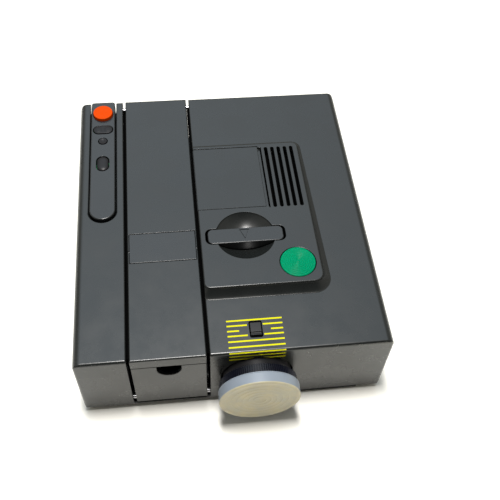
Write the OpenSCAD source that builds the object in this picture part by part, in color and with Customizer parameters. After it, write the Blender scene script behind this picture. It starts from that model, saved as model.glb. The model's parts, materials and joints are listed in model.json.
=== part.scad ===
// Slide projector for straight magazines, with a docked infrared remote.
// X runs left to right seen from the lens side, the lens side faces -Y and +Z is up.
// The origin is the middle of the whole footprint, lens cap included, on the surface that the feet rest on.
// The modules below are drawn with y = 0 in the middle of the body, and in_frame() moves them.

/* [Body] */
// Overall width
body_w = 270; // [270:1:276]
// Overall depth from the front face to the rear face
body_d = 308; // [308:1:316]
// Height from the underside of the base to the top of the covers
body_h = 81; // [81:0.5:84]
// Height of the feet
foot_h = 6; // [6:0.5:8]
// Wall thickness of the moulded covers
wall = 2.4; // [2:0.1:2.6]
// Thickness of the base tray
tray_t = 3; // [2.6:0.1:3.4]
// Radius of the long outer top edges
side_r = 7; // [4:0.5:8]
// Radius of the front and rear top edges
front_r = 3.5; // [2:0.5:4]
// Radius of the top edges beside the channel
edge_r = 1.2; // [0.6:0.1:1.6]

/* [Magazine channel] */
// Width of the housing to the left of the channel
left_w = 44; // [44:1:46]
// Width of the slot on each side of the lid
slot_w = 2.5; // [2.3:0.1:3]
// Width of the lid
lid_w = 64; // [64:0.5:66]
// Height of the channel's floor above the resting plane
floor_z = 15.5; // [15.5:0.5:16.5]
// Height of the front door
door_h = 65; // [62:1:65]
// How far the front door's finger notch is cut down
notch_depth = 16; // [14:1:18]
// Half width of the finger notch
notch_r = 10.4; // [9:0.2:12]

/* [Hatch in the lid] */
// Front edge of the hatch
hatch_y0 = -55.6; // [-58:0.2:-54]
// Rear edge of the hatch
hatch_y1 = -23.5; // [-25:0.2:-20]
// Hatch pivot line
hatch_pivot_y = -42.7; // [-44:0.1:-41]

/* [Raised deck] */
// Rise of the deck above the covers at its front edge
deck_front_h = 8; // [7:0.5:9]
// Rise of the deck above the covers at its rear edge
deck_rear_h = 3; // [3:0.5:5]
// Front edge of the deck's flat top
deck_y0 = -93; // [-95:1:-92]
// Rear edge of the deck's flat top
deck_y1 = 80; // [80:1:84]
// Right edge of the deck's flat top
deck_x1 = 84; // [84:1:88]
// Width of the sloped skirt around the deck
deck_skirt = 7; // [5:0.5:8]
// Number of warm-air slots
vent_count = 6; // [4:1:6]
// Spacing of the warm-air slots
vent_pitch = 6.4; // [6:0.1:6.6]

/* [Optics] */
// Distance from the right housing's left face to the optical axis
axis_inset = 40.8; // [40.8:0.2:42]
// Height of the optical axis above the underside of the base
axis_h = 40; // [40:0.5:41]
// Radius of the lens barrel
barrel_r = 30; // [29:0.1:30]
// Radius of the ribbed zoom ring
ring_r = 33; // [32.6:0.1:33.2]
// Radius of the push-on lens cap
cap_r = 34.5; // [34.2:0.1:35]
// Radius of the finger bowl under the grip bar
bowl_r = 27; // [25:0.5:28]
// Depth of the finger bowl
bowl_depth = 12.5; // [10:0.5:13]
// Length of the grip bar
bar_l = 69.5; // [68:0.5:70]
// Width of the grip bar
bar_w = 17; // [16.5:0.1:17.2]

/* [Controls] */
// Radius of the power button
power_r = 15.9; // [14:0.1:16]
// Travel of the power button
power_travel = 2.5; // [1.5:0.1:2.5]
// Width of the remote control
remote_w = 24; // [23:0.2:24.4]
// Length of the remote control
remote_l = 157; // [150:1:157]
// Travel of the remote control's keys
key_travel = 1.2; // [0.8:0.1:1.4]

/* [Hidden] */
$fn = 64;
eps = 0.01;
gap = 0.35;          // seam between fixed mouldings
run = 0.05;          // radial clearance of a running fit
dome_fn = 200;       // facets round the large spheres of the button and lenses

x_left = -body_w / 2;
x_right = body_w / 2;
y_front = -body_d / 2;
y_rear = body_d / 2;
z_base = foot_h;
z_tray = z_base + tray_t;
z_cover = z_tray + 0.6;
z_top = z_base + body_h;
x_slot1 = x_left + left_w;
x_lid0 = x_slot1 + slot_w;
x_lid1 = x_lid0 + lid_w;
x_slot2 = x_lid1 + slot_w;
x_channel = (x_lid0 + x_lid1) / 2;

axis_x = x_slot2 + axis_inset;
axis_z = z_base + axis_h;
gate_y = -56;
module_y = -36.5;
lamp_y = 38;
face_y = y_front - 7;            // rear face of the zoom ring
ring_l = 11;
barrel_y1 = -72;                 // rear end of the barrel
cap_y0 = y_front - 25;           // front face of the cap
cap_l = 10.5;

pin_r = 2;
pin_reach = 6;                   // how far each pin reaches in under the lid
lid_pin_y = y_rear - 6;
lid_pin_z = z_top - 7;
door_pin_y = y_front + 4.4;
door_pin_z = z_tray + 4;
hatch_pivot_z = z_top - 1.6;
hatch_t = 2.4;
hatch_x0 = x_lid0 + 1.9;
hatch_x1 = x_lid1 - 1.9;
trunnion_r = 0.8;

trough_x = -111;                 // middle of the remote's trough
trough_r = 13.2;
trough_y0 = -6.9;
trough_z = z_top - 16;
remote_y0 = trough_y0 + 1.9;
remote_z0 = trough_z + 0.4;
remote_z1 = z_top + 2;
remote_split = remote_z0 + 7.6;
remote_wall = 2;

power_x = 63.1;
power_y = -71;
lamp_lid_y0 = -3.8;
lamp_lid_y1 = 75.6;
lamp_lid_x1 = 43;
lamp_lid_t = 2.4;
vent_x0 = 45;
vent_y0 = -5.4;
vent_y1 = 74.3;
vent_r = 1.7;

rocker_x0 = axis_x - 6;
rocker_x1 = axis_x + 5.4;
rocker_y0 = -140;
rocker_y1 = -124;
rocker_z = z_top - 3;

changer_module = 1.25;
changer_teeth = 20;
changer_r = changer_module * changer_teeth / 2;
changer_z0 = z_tray + 0.8;
changer_z1 = z_tray + 3.6;
idler_x = 42;
idler_y = gate_y - 4 - changer_r;
drive_turn = 9;                  // half a tooth below the idler, so that the drive gear clears the rack
drive_x = idler_x + 2 * changer_r * cos(drive_turn);
drive_y = idler_y - 2 * changer_r * sin(drive_turn);
arm_x0 = x_slot1 - 6;            // left end of the arm at rest
arm_x1 = 40;                     // right end of the arm at rest
blade_w = 2.4;
arm_path = [gate_y - 6, gate_y + 8];   // strip of base kept clear for the arm

focus_module = 1;
focus_teeth = 12;
focus_r = focus_module * focus_teeth / 2;
focus_motor_r = 6;
rack_x = axis_x + 33;            // pitch line of the focus rack
pinion_x = rack_x + focus_r;
pinion_y = -108;

transport_x = x_slot1 - 7;
transport_y = -20;
transport_z = 20;
fan_x = 84;
fan_y = 34;
fan_z = 58;
level_x = 77.5;
level_y = y_front + 9.5;
level_l = 75;
feet = [[-115, 130], [115, 130], [-112, -132]];
left_posts = [[-113, -145], [-113, 145]];
right_posts = [[126, -145], [126, 145], [-13, 145]];
post_r = 4;

charcoal = [0.27, 0.29, 0.30];
charcoal_light = [0.32, 0.34, 0.35];
black = [0.08, 0.08, 0.09];
steel = [0.7, 0.7, 0.72];
glass = [0.75, 0.85, 0.9, 0.5];

// Height of the deck's sloping top at a given y.
function deck_z(y) = z_top + deck_front_h
    + (deck_rear_h - deck_front_h) * (y - deck_y0) / (deck_y1 - deck_y0);

// ---- Drawing helpers -------------------------------------------------------

module in_frame() translate([0, (y_front - cap_y0) / 2, 0]) children();

module box(lo, hi) translate(lo) cube(hi - lo);

// Extrude a profile drawn in (y, z) along X, in (x, z) along Y, or in (x, y) along Z.
module along_x(x0, x1) translate([x0, 0, 0]) rotate([90, 0, 90])
    linear_extrude(x1 - x0) children();
module along_y(y0, y1) translate([0, y1, 0]) rotate([90, 0, 0])
    linear_extrude(y1 - y0) children();
module along_z(z0, z1) translate([0, 0, z0]) linear_extrude(z1 - z0) children();

module rod_x(x0, x1, y, z, r) translate([x0, y, z]) rotate([0, 90, 0])
    cylinder(r = r, h = x1 - x0);
module rod_y(y0, y1, x, z, r) translate([x, y0, z]) rotate([-90, 0, 0])
    cylinder(r = r, h = y1 - y0);
module rod_z(z0, z1, x, y, r) translate([x, y, z0]) cylinder(r = r, h = z1 - z0);

// What a rounded corner takes away: p is the corner and d points into the shape.
module corner_cut(p, d, r) if (r > 0) difference() {
    translate([d.x > 0 ? p.x - eps : p.x - r, d.y > 0 ? p.y - eps : p.y - r])
        square(r + eps);
    translate(p + r * d) circle(r);
}

// Rectangle with its own radius at each corner, anticlockwise from the lower left.
module rounded(lo, hi, r = [0, 0, 0, 0]) difference() {
    translate(lo) square(hi - lo);
    corner_cut(lo, [1, 1], r[0]);
    corner_cut([hi.x, lo.y], [-1, 1], r[1]);
    corner_cut(hi, [-1, -1], r[2]);
    corner_cut([lo.x, hi.y], [1, -1], r[3]);
}

// Slot with round ends, drawn along Y.
module slot_y(x, y0, y1, r) {
    translate([x - r, y0 + r]) square([2 * r, y1 - y0 - 2 * r]);
    translate([x, y0 + r]) circle(r);
    translate([x, y1 - r]) circle(r);
}

// Point on the involute of a circle of radius rb, at unrolled angle t in degrees.
function involute(rb, t) = let (u = t * PI / 180)
    [rb * (cos(t) + u * sin(t)), rb * (sin(t) - u * cos(t))];
function turn(p, a) = [p.x * cos(a) - p.y * sin(a), p.x * sin(a) + p.y * cos(a)];

// Spur gear with 20 degree involute flanks, slightly thinned for backlash.
module gear2d(m, n) {
    rp = m * n / 2;
    rb = rp * cos(20);
    ra = rp + 0.88 * m;
    rf = rp - 1.2 * m;
    t_pitch = sqrt(pow(rp / rb, 2) - 1) * 180 / PI;
    t_tip = sqrt(pow(ra / rb, 2) - 1) * 180 / PI;
    lean = t_pitch - 20;
    half = 90 / n - 0.09 * m / rp * 180 / PI + lean;
    steps = 4;
    flank = [for (i = [0 : steps]) turn(involute(rb, t_tip * i / steps), -half)];
    other = [for (i = [steps : -1 : 0]) [flank[i].x, -flank[i].y]];
    foot = (rf - 0.3) * [cos(half), sin(half)];
    circle(rf);
    for (k = [0 : n - 1]) rotate(k * 360 / n)
        polygon(concat([[foot.x, -foot.y]], flank, other, [foot]));
}

// Rack with its pitch line on y = 0, teeth pointing to -Y, gaps centred on x = 0.
module rack2d(m, x0, x1) {
    pitch = PI * m;
    wide = pitch / 4 + 1.2 * m * tan(20) - 0.09 * m;
    narrow = pitch / 4 - 0.88 * m * tan(20) - 0.09 * m;
    for (k = [ceil(x0 / pitch) : floor(x1 / pitch) - 1]) translate([(k + 0.5) * pitch, 0])
        polygon([[-wide, 1.3 * m], [-narrow, -0.88 * m],
            [narrow, -0.88 * m], [wide, 1.3 * m]]);
}

// Outer form of a cover between x0 and x1, shrunk by inset and open below.
module cover_form(x0, x1, inset, left_edge_r, right_edge_r) {
    low = inset > 0 ? z_cover - 1 : z_cover;
    intersection() {
        along_y(y_front + inset, y_rear - inset)
            rounded([x0 + inset, low], [x1 - inset, z_top - inset],
                [0, 0, right_edge_r - inset, left_edge_r - inset]);
        along_x(x0, x1)
            rounded([y_front + inset, low], [y_rear - inset, z_top - inset],
                [0, 0, front_r - inset, front_r - inset]);
    }
}

// Screw post standing from the base up into a cover.
module post(p, top) difference() {
    rod_z(z_tray + 0.1, top, p.x, p.y, post_r);
    rod_z(z_tray, z_tray + 16, p.x, p.y, 1.5 + run);
}

// ---- Base and covers -------------------------------------------------------

module base_rim(x0, x1) difference() {
    box([x0 + wall + 0.2, y_front + wall + 0.2, z_tray - eps],
        [x1 - wall - 0.2, y_rear - wall - 0.2, z_tray + 5]);
    box([x0 + wall + 1.8, y_front + wall + 1.8, z_tray - 1],
        [x1 - wall - 1.8, y_rear - wall - 1.8, z_tray + 6]);
}

module base_tray() color(charcoal_light) difference() {
    union() {
        along_z(z_base, z_tray)
            rounded([x_left + 0.3, y_front + 0.3], [x_right - 0.3, y_rear - 0.3], [2, 2, 2, 2]);
        base_rim(x_left, x_slot1);
        base_rim(x_slot2, x_right);
        for (x = [-86, 96]) box([x, gate_y - 7, z_tray - eps], [x + 26, gate_y - 5.6, z_tray + 3]);
        box([-86, gate_y + 6.5, z_tray - eps], [40, gate_y + 8, z_tray + 3]);
        rod_z(z_tray - eps, changer_z1, idler_x, idler_y, pin_r);
        rod_z(z_tray - eps, z_tray + 22, level_x, level_y, 6.8);
    }
    // The arm crosses both housings' rims.
    for (x = [x_slot1 - 6, x_slot2])
        box([x, arm_path[0], z_tray], [x + 6, arm_path[1], z_tray + 6]);
    // Room for the front door's hinge, and for its edge as it opens.
    box([x_slot1 + 0.4, y_front - 1, z_base + 1.2], [x_slot2 - 0.4, y_front + 11, z_tray + 1]);
    for (x = [58 : 8 : 108]) along_z(z_base - 1, z_tray + 1) slot_y(x, 6, 62, 2);
    for (p = concat(left_posts, right_posts)) {
        rod_z(z_base - 1, z_tray + 1, p.x, p.y, 1.7);
        rod_z(z_base - 1, z_base + 1.6, p.x, p.y, 3.3);
    }
    for (p = feet) rod_z(z_base - 1, z_tray + 1, p.x, p.y, 3);
    rod_z(z_base - 1, z_tray + 23, level_x, level_y, 4 + run);
}

module remote_trough(grow) along_z(trough_z - grow, z_top + 1) {
    translate([trough_x, trough_y0 + trough_r]) circle(trough_r + grow);
    translate([trough_x - trough_r - grow, trough_y0 + trough_r])
        square([2 * (trough_r + grow), y_rear - trough_y0 - trough_r + 1]);
}

// Holes in a channel wall for the pins of the lid and the door.
module pin_holes(x) {
    rod_x(x - 6, x + 6, lid_pin_y, lid_pin_z, pin_r + 0.02);
    rod_x(x - 6, x + 6, door_pin_y, door_pin_z, pin_r + 0.02);
}

module left_cover() color(charcoal) difference() {
    union() {
        difference() {
            cover_form(x_left, x_slot1, 0, side_r, edge_r);
            cover_form(x_left, x_slot1, wall, side_r, edge_r);
        }
        intersection() {
            cover_form(x_left, x_slot1, 0, side_r, edge_r);
            remote_trough(wall);
        }
        for (p = left_posts) post(p, p.y > 0 ? trough_z - 1 : z_top - 1);
    }
    remote_trough(0);
    pin_holes(x_slot1);
    box([x_slot1 - 5, arm_path[0], z_cover - 1], [x_slot1 + 1, arm_path[1], z_tray + 5]);
    box([x_slot1 - 5, gate_y - 2.2, z_cover], [x_slot1 + 1, gate_y + 2.2, 66]);
    box([x_slot1 - 5, transport_y - 11, transport_z - 1],
        [x_slot1 + 1, transport_y + 11, transport_z + 6]);
}

// The deck's sloping form, lowered and drawn in by inset.
module deck_form(inset) intersection() {
    along_x(x_slot2 + inset, deck_x1 + deck_skirt + 1)
        polygon([[deck_y0 - deck_skirt + inset, z_top - 3], [deck_y0 - deck_skirt + inset, z_top - inset],
            [deck_y0 + inset, deck_z(deck_y0) - inset], [deck_y1 - inset, deck_z(deck_y1) - inset],
            [deck_y1 + deck_rear_h - inset, z_top - inset], [deck_y1 + deck_rear_h - inset, z_top - 3]]);
    along_y(deck_y0 - deck_skirt, deck_y1 + deck_rear_h)
        polygon([[x_slot2 + inset, z_top - 3], [deck_x1 + deck_skirt - inset, z_top - 3],
            [deck_x1 + deck_skirt - inset, z_top - inset], [deck_x1 - inset, deck_z(deck_y0) - inset],
            [x_slot2 + inset, deck_z(deck_y0) - inset]]);
}

// The bowl is a short cylinder with a spherical dish below it.
bowl_lip = 1.6;
dish_depth = bowl_depth - bowl_lip;
bowl_sphere_r = (pow(bowl_r, 2) + pow(dish_depth, 2)) / (2 * dish_depth);
bowl_top = deck_z(module_y);

module bowl_skin(r) intersection() {
    translate([axis_x + 0.7, module_y, bowl_top + bowl_sphere_r - bowl_depth]) sphere(r);
    rod_z(bowl_top - bowl_depth - wall, bowl_top - 0.6, axis_x + 0.7, module_y, bowl_r + wall);
}

module bar_plan(grow) rounded(
    [axis_x + 0.9 - bar_l / 2 - 2.2 * grow, module_y - bar_w / 2 - 0.6 * grow],
    [axis_x + 0.9 + bar_l / 2 + 2.2 * grow, module_y + bar_w / 2 + 0.6 * grow],
    (5 + grow) * [1, 1, 1, 1]);

module right_cover() color(charcoal) difference() {
    union() {
        difference() {
            union() {
                cover_form(x_slot2, x_right, 0, edge_r, side_r);
                deck_form(0);
            }
            cover_form(x_slot2, x_right, wall, edge_r, side_r);
            deck_form(wall);
        }
        bowl_skin(bowl_sphere_r + wall);
        for (p = right_posts) post(p, z_top - 1);
        rod_z(z_top - 4, deck_z(power_y) - 1, power_x, power_y, power_r + 2.5);
        box([vent_x0 - 4, 32, z_top - 1], [vent_x0 + 35, 36, z_top + 2.5]);
        lamp_ledge();
    }
    bowl_skin(bowl_sphere_r);
    rod_z(bowl_top - bowl_lip - 1, bowl_top + 5, axis_x + 0.7, module_y, bowl_r);
    along_z(z_top - 20, z_top + 12) bar_plan(1);
    // Lamp opening: a wide step that the lid sits in, and the opening proper.
    lamp_lid_form(gap, 5);
    box([x_slot2 + wall + 2, lamp_lid_y0 + 2, z_top - 8], [lamp_lid_x1 - 2, lamp_lid_y1 - 2, z_top + 12]);
    for (i = [0 : vent_count - 1]) along_z(z_top + 0.5, z_top + 12)
        slot_y(vent_x0 + i * vent_pitch, vent_y0, vent_y1, vent_r);
    rod_z(z_top - 5, z_top + 12, power_x, power_y, power_r + 0.5);
    box([rocker_x0 + 0.6, rocker_y0 + 0.6, z_top - 6], [rocker_x1 - 0.6, rocker_y1 - 0.6, z_top + 1]);
    rod_y(y_front - 1, y_front + 6, axis_x, axis_z, barrel_r + 1.5);
    pin_holes(x_slot2);
    box([x_slot2 - 1, arm_path[0], z_cover - 1], [x_slot2 + 5, arm_path[1], z_tray + 5]);
    box([x_slot2 - 1, gate_y - 2.2, z_cover], [x_slot2 + 5, gate_y + 2.2, axis_z + 27]);
    box([-10, y_rear - wall - 1, z_cover + 5], [124, y_rear + 1, z_top - 9]);
}

module rear_panel() color(black) difference() {
    box([-10 + gap, y_rear - wall, z_cover + 5 + gap], [124 - gap, y_rear - 0.4, z_top - 9 - gap]);
    for (i = [0 : 8]) along_y(y_rear - 4, y_rear + 1)
        slot_y(2 + 7 * i, axis_z - 20, axis_z + 20, 1.8);
    box([88 - gap, y_rear - 4, 26 - gap], [112 + gap, y_rear + 1, 42 + gap]);
}

// Floor and side walls of the channel between two places along its length.
module trough(y0, y1) color(charcoal) difference() {
    union() {
        box([x_slot1 + 0.6, y0, floor_z - 2], [x_slot2 - 0.6, y1, floor_z]);
        for (x = [x_slot1 + 0.6, x_slot2 - 2]) box([x, y0, z_tray], [x + 1.4, y1, floor_z + 14]);
    }
    box([x_slot1, transport_y - 11, transport_z - 1],
        [x_slot1 + 3, transport_y + 11, transport_z + 6]);
}

module trough_front() trough(y_front + 12, gate_y - 8);
module trough_rear() trough(gate_y + 9, y_rear - 1);

// Steel pins that carry the lid and the front door, pressed into the channel's walls.
module hinge_pins() color(steel) {
    for (p = [[lid_pin_y, lid_pin_z], [door_pin_y, door_pin_z]]) {
        rod_x(x_slot1 - wall, x_lid0 + pin_reach, p.x, p.y, pin_r);
        rod_x(x_lid1 - pin_reach, x_slot2 + wall, p.x, p.y, pin_r);
    }
}

// ---- Parts over and in front of the channel --------------------------------

module lid_section(x0, x1, inset) intersection() {
    along_y(y_front + inset, y_rear + eps) rounded([x0, z_top - 26], [x1, z_top - inset],
        [0, 0, edge_r - inset, edge_r - inset]);
    along_x(x0, x1) rounded([y_front + inset, z_top - 26], [y_rear, z_top - inset],
        [0, 0, 1.5 - inset, front_r - inset]);
}

module channel_lid() color(charcoal) difference() {
    union() {
        difference() {
            lid_section(x_lid0, x_lid1, 0);
            lid_section(x_lid0 + 1.8, x_lid1 - 1.8, wall);
            // The skirts are short at the front wall and stop over the rear opening.
            box([x_lid0 - 1, y_front - 1, z_top - 30], [x_lid1 + 1, y_front + 8, z_tray + door_h + 0.9]);
            box([x_lid0 - 1, y_front + 7, z_top - 30], [x_lid1 + 1, y_rear + 1, z_top - 20]);
            along_x(x_lid0 - 1, x_lid1 + 1) difference() {
                translate([lid_pin_y, z_top - 30]) square([20, 30 - 7]);
                translate([lid_pin_y, lid_pin_z]) circle(6);
            }
        }
        for (x = [x_lid0, x_lid1 - pin_reach]) rod_x(x, x + pin_reach, lid_pin_y, lid_pin_z, 4.5);
    }
    for (x = [x_lid0 - 1, x_lid1 - pin_reach - 1])
        rod_x(x, x + pin_reach + 2, lid_pin_y, lid_pin_z, pin_r + run);
    box([hatch_x0 - 0.4, hatch_y0 - 0.4, z_top - wall - 3], [hatch_x1 + 0.4, hatch_y1 + 0.4, z_top + 1]);
    for (x = [hatch_x0 - 1, hatch_x1 - 1]) {
        rod_x(x, x + 2, hatch_pivot_y, hatch_pivot_z, trunnion_r + run);
        box([x, hatch_pivot_y - trunnion_r - run, hatch_pivot_z],
            [x + 2, hatch_pivot_y + trunnion_r + run, z_top + 1]);
    }
}

module hatch_flap() color(charcoal_light) {
    box([hatch_x0, hatch_y0, z_top - hatch_t], [hatch_x1, hatch_y1, z_top]);
    rod_x(hatch_x0 - 0.9, hatch_x1 + 0.9, hatch_pivot_y, hatch_pivot_z, trunnion_r);
}

module front_door() color(charcoal) difference() {
    union() {
        along_y(y_front, y_front + 3) difference() {
            rounded([x_lid0 + 0.3, z_tray + 0.9], [x_lid1 - 0.3, z_tray + door_h + 0.3], [1, 1, 0, 0]);
            translate([x_channel, z_tray + door_h - notch_depth + notch_r + 0.3]) circle(notch_r);
            translate([x_channel - notch_r, z_tray + door_h - notch_depth + notch_r + 0.3])
                square([2 * notch_r, notch_depth]);
        }
        for (x = [x_lid0 + 0.3, x_lid1 - 7.3]) rod_x(x, x + 7, door_pin_y, door_pin_z, 3.1);
    }
    for (x = [x_lid0 - 1, x_lid1 - 8]) rod_x(x, x + 9, door_pin_y, door_pin_z, pin_r + run);
}

// ---- Lamp cover and lift-out condenser module ------------------------------

// Slab under the lamp cover's sloping top face, grown sideways by grow.
module lamp_lid_form(grow, extra) along_x(x_slot2 + (grow > 0 ? -1 : gap), lamp_lid_x1 + grow)
    polygon([[lamp_lid_y0 - grow, deck_z(lamp_lid_y0) - lamp_lid_t - grow / 4],
        [lamp_lid_y0 - grow, deck_z(lamp_lid_y0) + extra],
        [lamp_lid_y1 + grow, deck_z(lamp_lid_y1) + extra],
        [lamp_lid_y1 + grow, deck_z(lamp_lid_y1) - lamp_lid_t - grow / 4]]);

// Ledge inside the deck that the lamp cover rests on.
module lamp_ledge() along_x(x_slot2 + 1, lamp_lid_x1 + 4)
    polygon([for (y = [lamp_lid_y0 - 4, lamp_lid_y1 + 2]) [y, deck_z(y) - lamp_lid_t - 2],
        for (y = [lamp_lid_y1 + 2, lamp_lid_y0 - 4]) [y, deck_z(y) - lamp_lid_t]]);

module lamp_cover() color(charcoal) {
    lamp_lid_form(0, 0);
    difference() {
        along_x(x_slot2 + wall + 2.4, lamp_lid_x1 - 2.4)
            polygon([for (y = [lamp_lid_y0 + 2.4, lamp_lid_y1 - 2.4]) [y, z_top - 3],
                for (y = [lamp_lid_y1 - 2.4, lamp_lid_y0 + 2.4]) [y, deck_z(y) - lamp_lid_t + eps]]);
        box([x_slot2 + wall + 4.4, lamp_lid_y0 + 4.4, z_top - 4],
            [lamp_lid_x1 - 4.4, lamp_lid_y1 - 4.4, z_top + 12]);
    }
}

module grip_bar() color(charcoal_light) intersection() {
    along_z(z_top - 6, z_top + 12) bar_plan(0);
    along_x(x_slot2, deck_x1) polygon([[module_y - bar_w, z_top - 6], [module_y + bar_w, z_top - 6],
        [module_y + bar_w, deck_z(module_y + bar_w)], [module_y - bar_w, deck_z(module_y - bar_w)]]);
}

module module_frame() color(black) difference() {
    box([axis_x - 31, module_y - 7, 18], [axis_x + 31, module_y + 7, z_top - 6]);
    rod_y(module_y - 8, module_y + 8, axis_x, axis_z, 22);
    rod_y(module_y - 3, module_y + 8, axis_x, axis_z, 24);
    box([axis_x - 24, module_y - 6, axis_z - 24], [axis_x + 24, module_y - 3.5, axis_z + 24]);
}

// Lens with one domed face, cut from a sphere, its flat face at y and dome to +Y.
module plano_lens(y, r, sphere_r, edge, dome) translate([axis_x, y, axis_z]) rotate([-90, 0, 0])
    intersection() {
        cylinder(r = r, h = edge + dome);
        translate([0, 0, edge + dome - sphere_r]) sphere(sphere_r);
    }

module condenser_lens() color(glass) plano_lens(module_y - 2.9, 23.9, 45, 2.6, 6.8);
module heat_filter() color([0.6, 0.85, 0.75, 0.6])
    box([axis_x - 23.8, module_y - 5.9, axis_z - 23.8], [axis_x + 23.8, module_y - 3.6, axis_z + 23.8]);

module module_guide() color(steel) for (s = [-1, 1]) difference() {
    x = axis_x + s * 31;
    box([x - (s < 0 ? 4 : 3), module_y - 8.9, z_tray], [x + (s < 0 ? 3 : 4), module_y + 10, 70]);
    box([x - (s < 0 ? 0.5 : 4), module_y - 7.5, 17.5], [x + (s < 0 ? 4 : 0.5), module_y + 7.5, 71]);
}

// ---- Controls --------------------------------------------------------------

module power_button() color([0.1, 0.7, 0.5]) {
    z = deck_z(power_y);
    intersection() {
        rod_z(z - 4, z + 2, power_x, power_y, power_r);
        translate([power_x, power_y, z + 1.6 - 90]) sphere(90, $fn = dome_fn);
    }
    rod_z(z - 17.5, z - 3.5, power_x, power_y, 3);
}

spring_z0 = deck_z(power_y) - 20.2;
spring_h = 16;
spring_turns = 5;
spring_r = 5;
wire_r = 0.5;

// Helical spring swept around its coil as a ring of points for each step.
module button_spring() color(steel) translate([power_x, power_y, spring_z0 + wire_r]) {
    side = 8;
    steps = spring_turns * 16;
    ring = function(i) let (a = i * 360 * spring_turns / steps) [for (k = [0 : side - 1])
        let (b = k * 360 / side, r = spring_r + wire_r * cos(b))
        [r * cos(a), r * sin(a), wire_r * sin(b) + i * (spring_h - 2 * wire_r) / steps]];
    points = [for (i = [0 : steps]) each ring(i)];
    sides = [for (i = [0 : steps - 1], k = [0 : side - 1]) let (n = (k + 1) % side)
        [i * side + k, (i + 1) * side + k, (i + 1) * side + n, i * side + n]];
    ends = [[for (k = [0 : side - 1]) k], [for (k = [side - 1 : -1 : 0]) steps * side + k]];
    polyhedron(points, concat(sides, ends));
}

module power_switch() color(black) {
    box([power_x - 11, power_y - 12, 50], [power_x + 13, power_y + 10.5, spring_z0 - 0.1]);
    for (x = [power_x - 8 : 8 : power_x + 8]) box([x - 1, power_y - 1, 44], [x + 1, power_y + 1, 50 + eps]);
    box([power_x + 12.9, power_y - 5, 56], [power_x + 22 + eps, power_y + 5, 60]);
    box([power_x + 22, power_y - 5, z_tray], [power_x + 25, power_y + 5, 60]);
}

module rocker_bezel() color(black) difference() {
    box([rocker_x0, rocker_y0, z_top + eps], [rocker_x1, rocker_y1, z_top + 0.6]);
    box([rocker_x0 + 1, rocker_y0 + 1, z_top - 6], [rocker_x1 - 1, rocker_y1 - 1, z_top + 2]);
}

module focus_rocker() color(black) {
    y = (rocker_y0 + rocker_y1) / 2;
    along_x(rocker_x0 + 1.4, rocker_x1 - 1.4) polygon([[y - 6.1, z_top + 0.9], [y - 5.4, rocker_z],
        [y, rocker_z - 2], [y + 5.4, rocker_z], [y + 6.1, z_top + 0.9], [y, z_top + 0.2]]);
    rod_x(rocker_x0 + 1.1, rocker_x1 - 1.1, y, z_top - 1, 1);
}

// ---- Projection lens -------------------------------------------------------

module lens_carrier() color(steel) difference() {
    union() {
        rod_y(-120, -75, axis_x, axis_z, barrel_r + 3);
        box([axis_x - 23, -119, z_tray], [axis_x + 23, -96, 24]);
    }
    rod_y(-121, -74, axis_x, axis_z, barrel_r + run);
    box([axis_x + 24, -121, axis_z - 5], [axis_x + 40, -74, axis_z + 5]);
}

module lens_barrel() color(black) difference() {
    union() {
        rod_y(face_y - ring_l - 1.5, barrel_y1, axis_x, axis_z, barrel_r);
        rod_y(face_y + 0.2, face_y + 1.2, axis_x, axis_z, barrel_r + 1.1);
        rod_y(face_y - ring_l - 1.6, face_y - ring_l - 0.2, axis_x, axis_z, barrel_r + 2.2);
        along_z(axis_z - 3, axis_z + 3) {
            translate([rack_x, pinion_y]) rotate(90) rack2d(focus_module, -14, 14);
            translate([axis_x + 29, pinion_y - 15])
                square([rack_x - axis_x - 29 - 1.15 * focus_module, 30]);
        }
    }
    rod_y(-200, -60, axis_x, axis_z, barrel_r - 5);
    rod_y(-200, face_y - 1, axis_x, axis_z, barrel_r - 2.5);
}

module front_lens() color(glass)
    translate([axis_x, 0, axis_z]) rotate([-90, 0, 0]) intersection() {
        translate([0, 0, face_y - 8]) cylinder(r = barrel_r - 2.5 - run, h = 6.9);
        translate([0, 0, face_y - 8 + 75]) sphere(75, $fn = dome_fn);
    }

module rear_lens() color(glass)
    translate([axis_x, 0, axis_z]) rotate([-90, 0, 0]) intersection() {
        translate([0, 0, barrel_y1 - 14]) cylinder(r = barrel_r - 5 - run, h = 8);
        translate([0, 0, barrel_y1 - 6 - 55]) sphere(55, $fn = dome_fn);
    }

module zoom_ring() color(black) difference() {
    rod_y(face_y - ring_l, face_y, axis_x, axis_z, ring_r);
    rod_y(face_y - ring_l - 1, face_y + 1, axis_x, axis_z, barrel_r + run);
    for (a = [0 : 12 : 359]) translate([axis_x, 0, axis_z]) rotate([0, a, 0])
        box([ring_r - 0.6, face_y - 7, -1], [ring_r + 1, face_y - 0.8, 1]);
}

module lens_cap() color([0.78, 0.82, 0.84]) difference() {
    rod_y(cap_y0, cap_y0 + cap_l, axis_x, axis_z, cap_r);
    rod_y(cap_y0 + 1.8, cap_y0 + cap_l + 1, axis_x, axis_z, ring_r + run);
}

module focus_pinion() color("white") {
    translate([pinion_x, pinion_y, axis_z - 3]) difference() {
        linear_extrude(6) gear2d(focus_module, focus_teeth);
        translate([0, 0, -1]) cylinder(r = 1.5 + run, h = 8);
    }
}

module focus_motor() color(steel) {
    rod_z(z_tray, axis_z - 8, pinion_x, pinion_y, focus_motor_r);
    rod_z(axis_z - 8 - eps, axis_z + 3.5, pinion_x, pinion_y, 1.5);
}

// ---- Slide gate, changer and magazine drive --------------------------------

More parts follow.
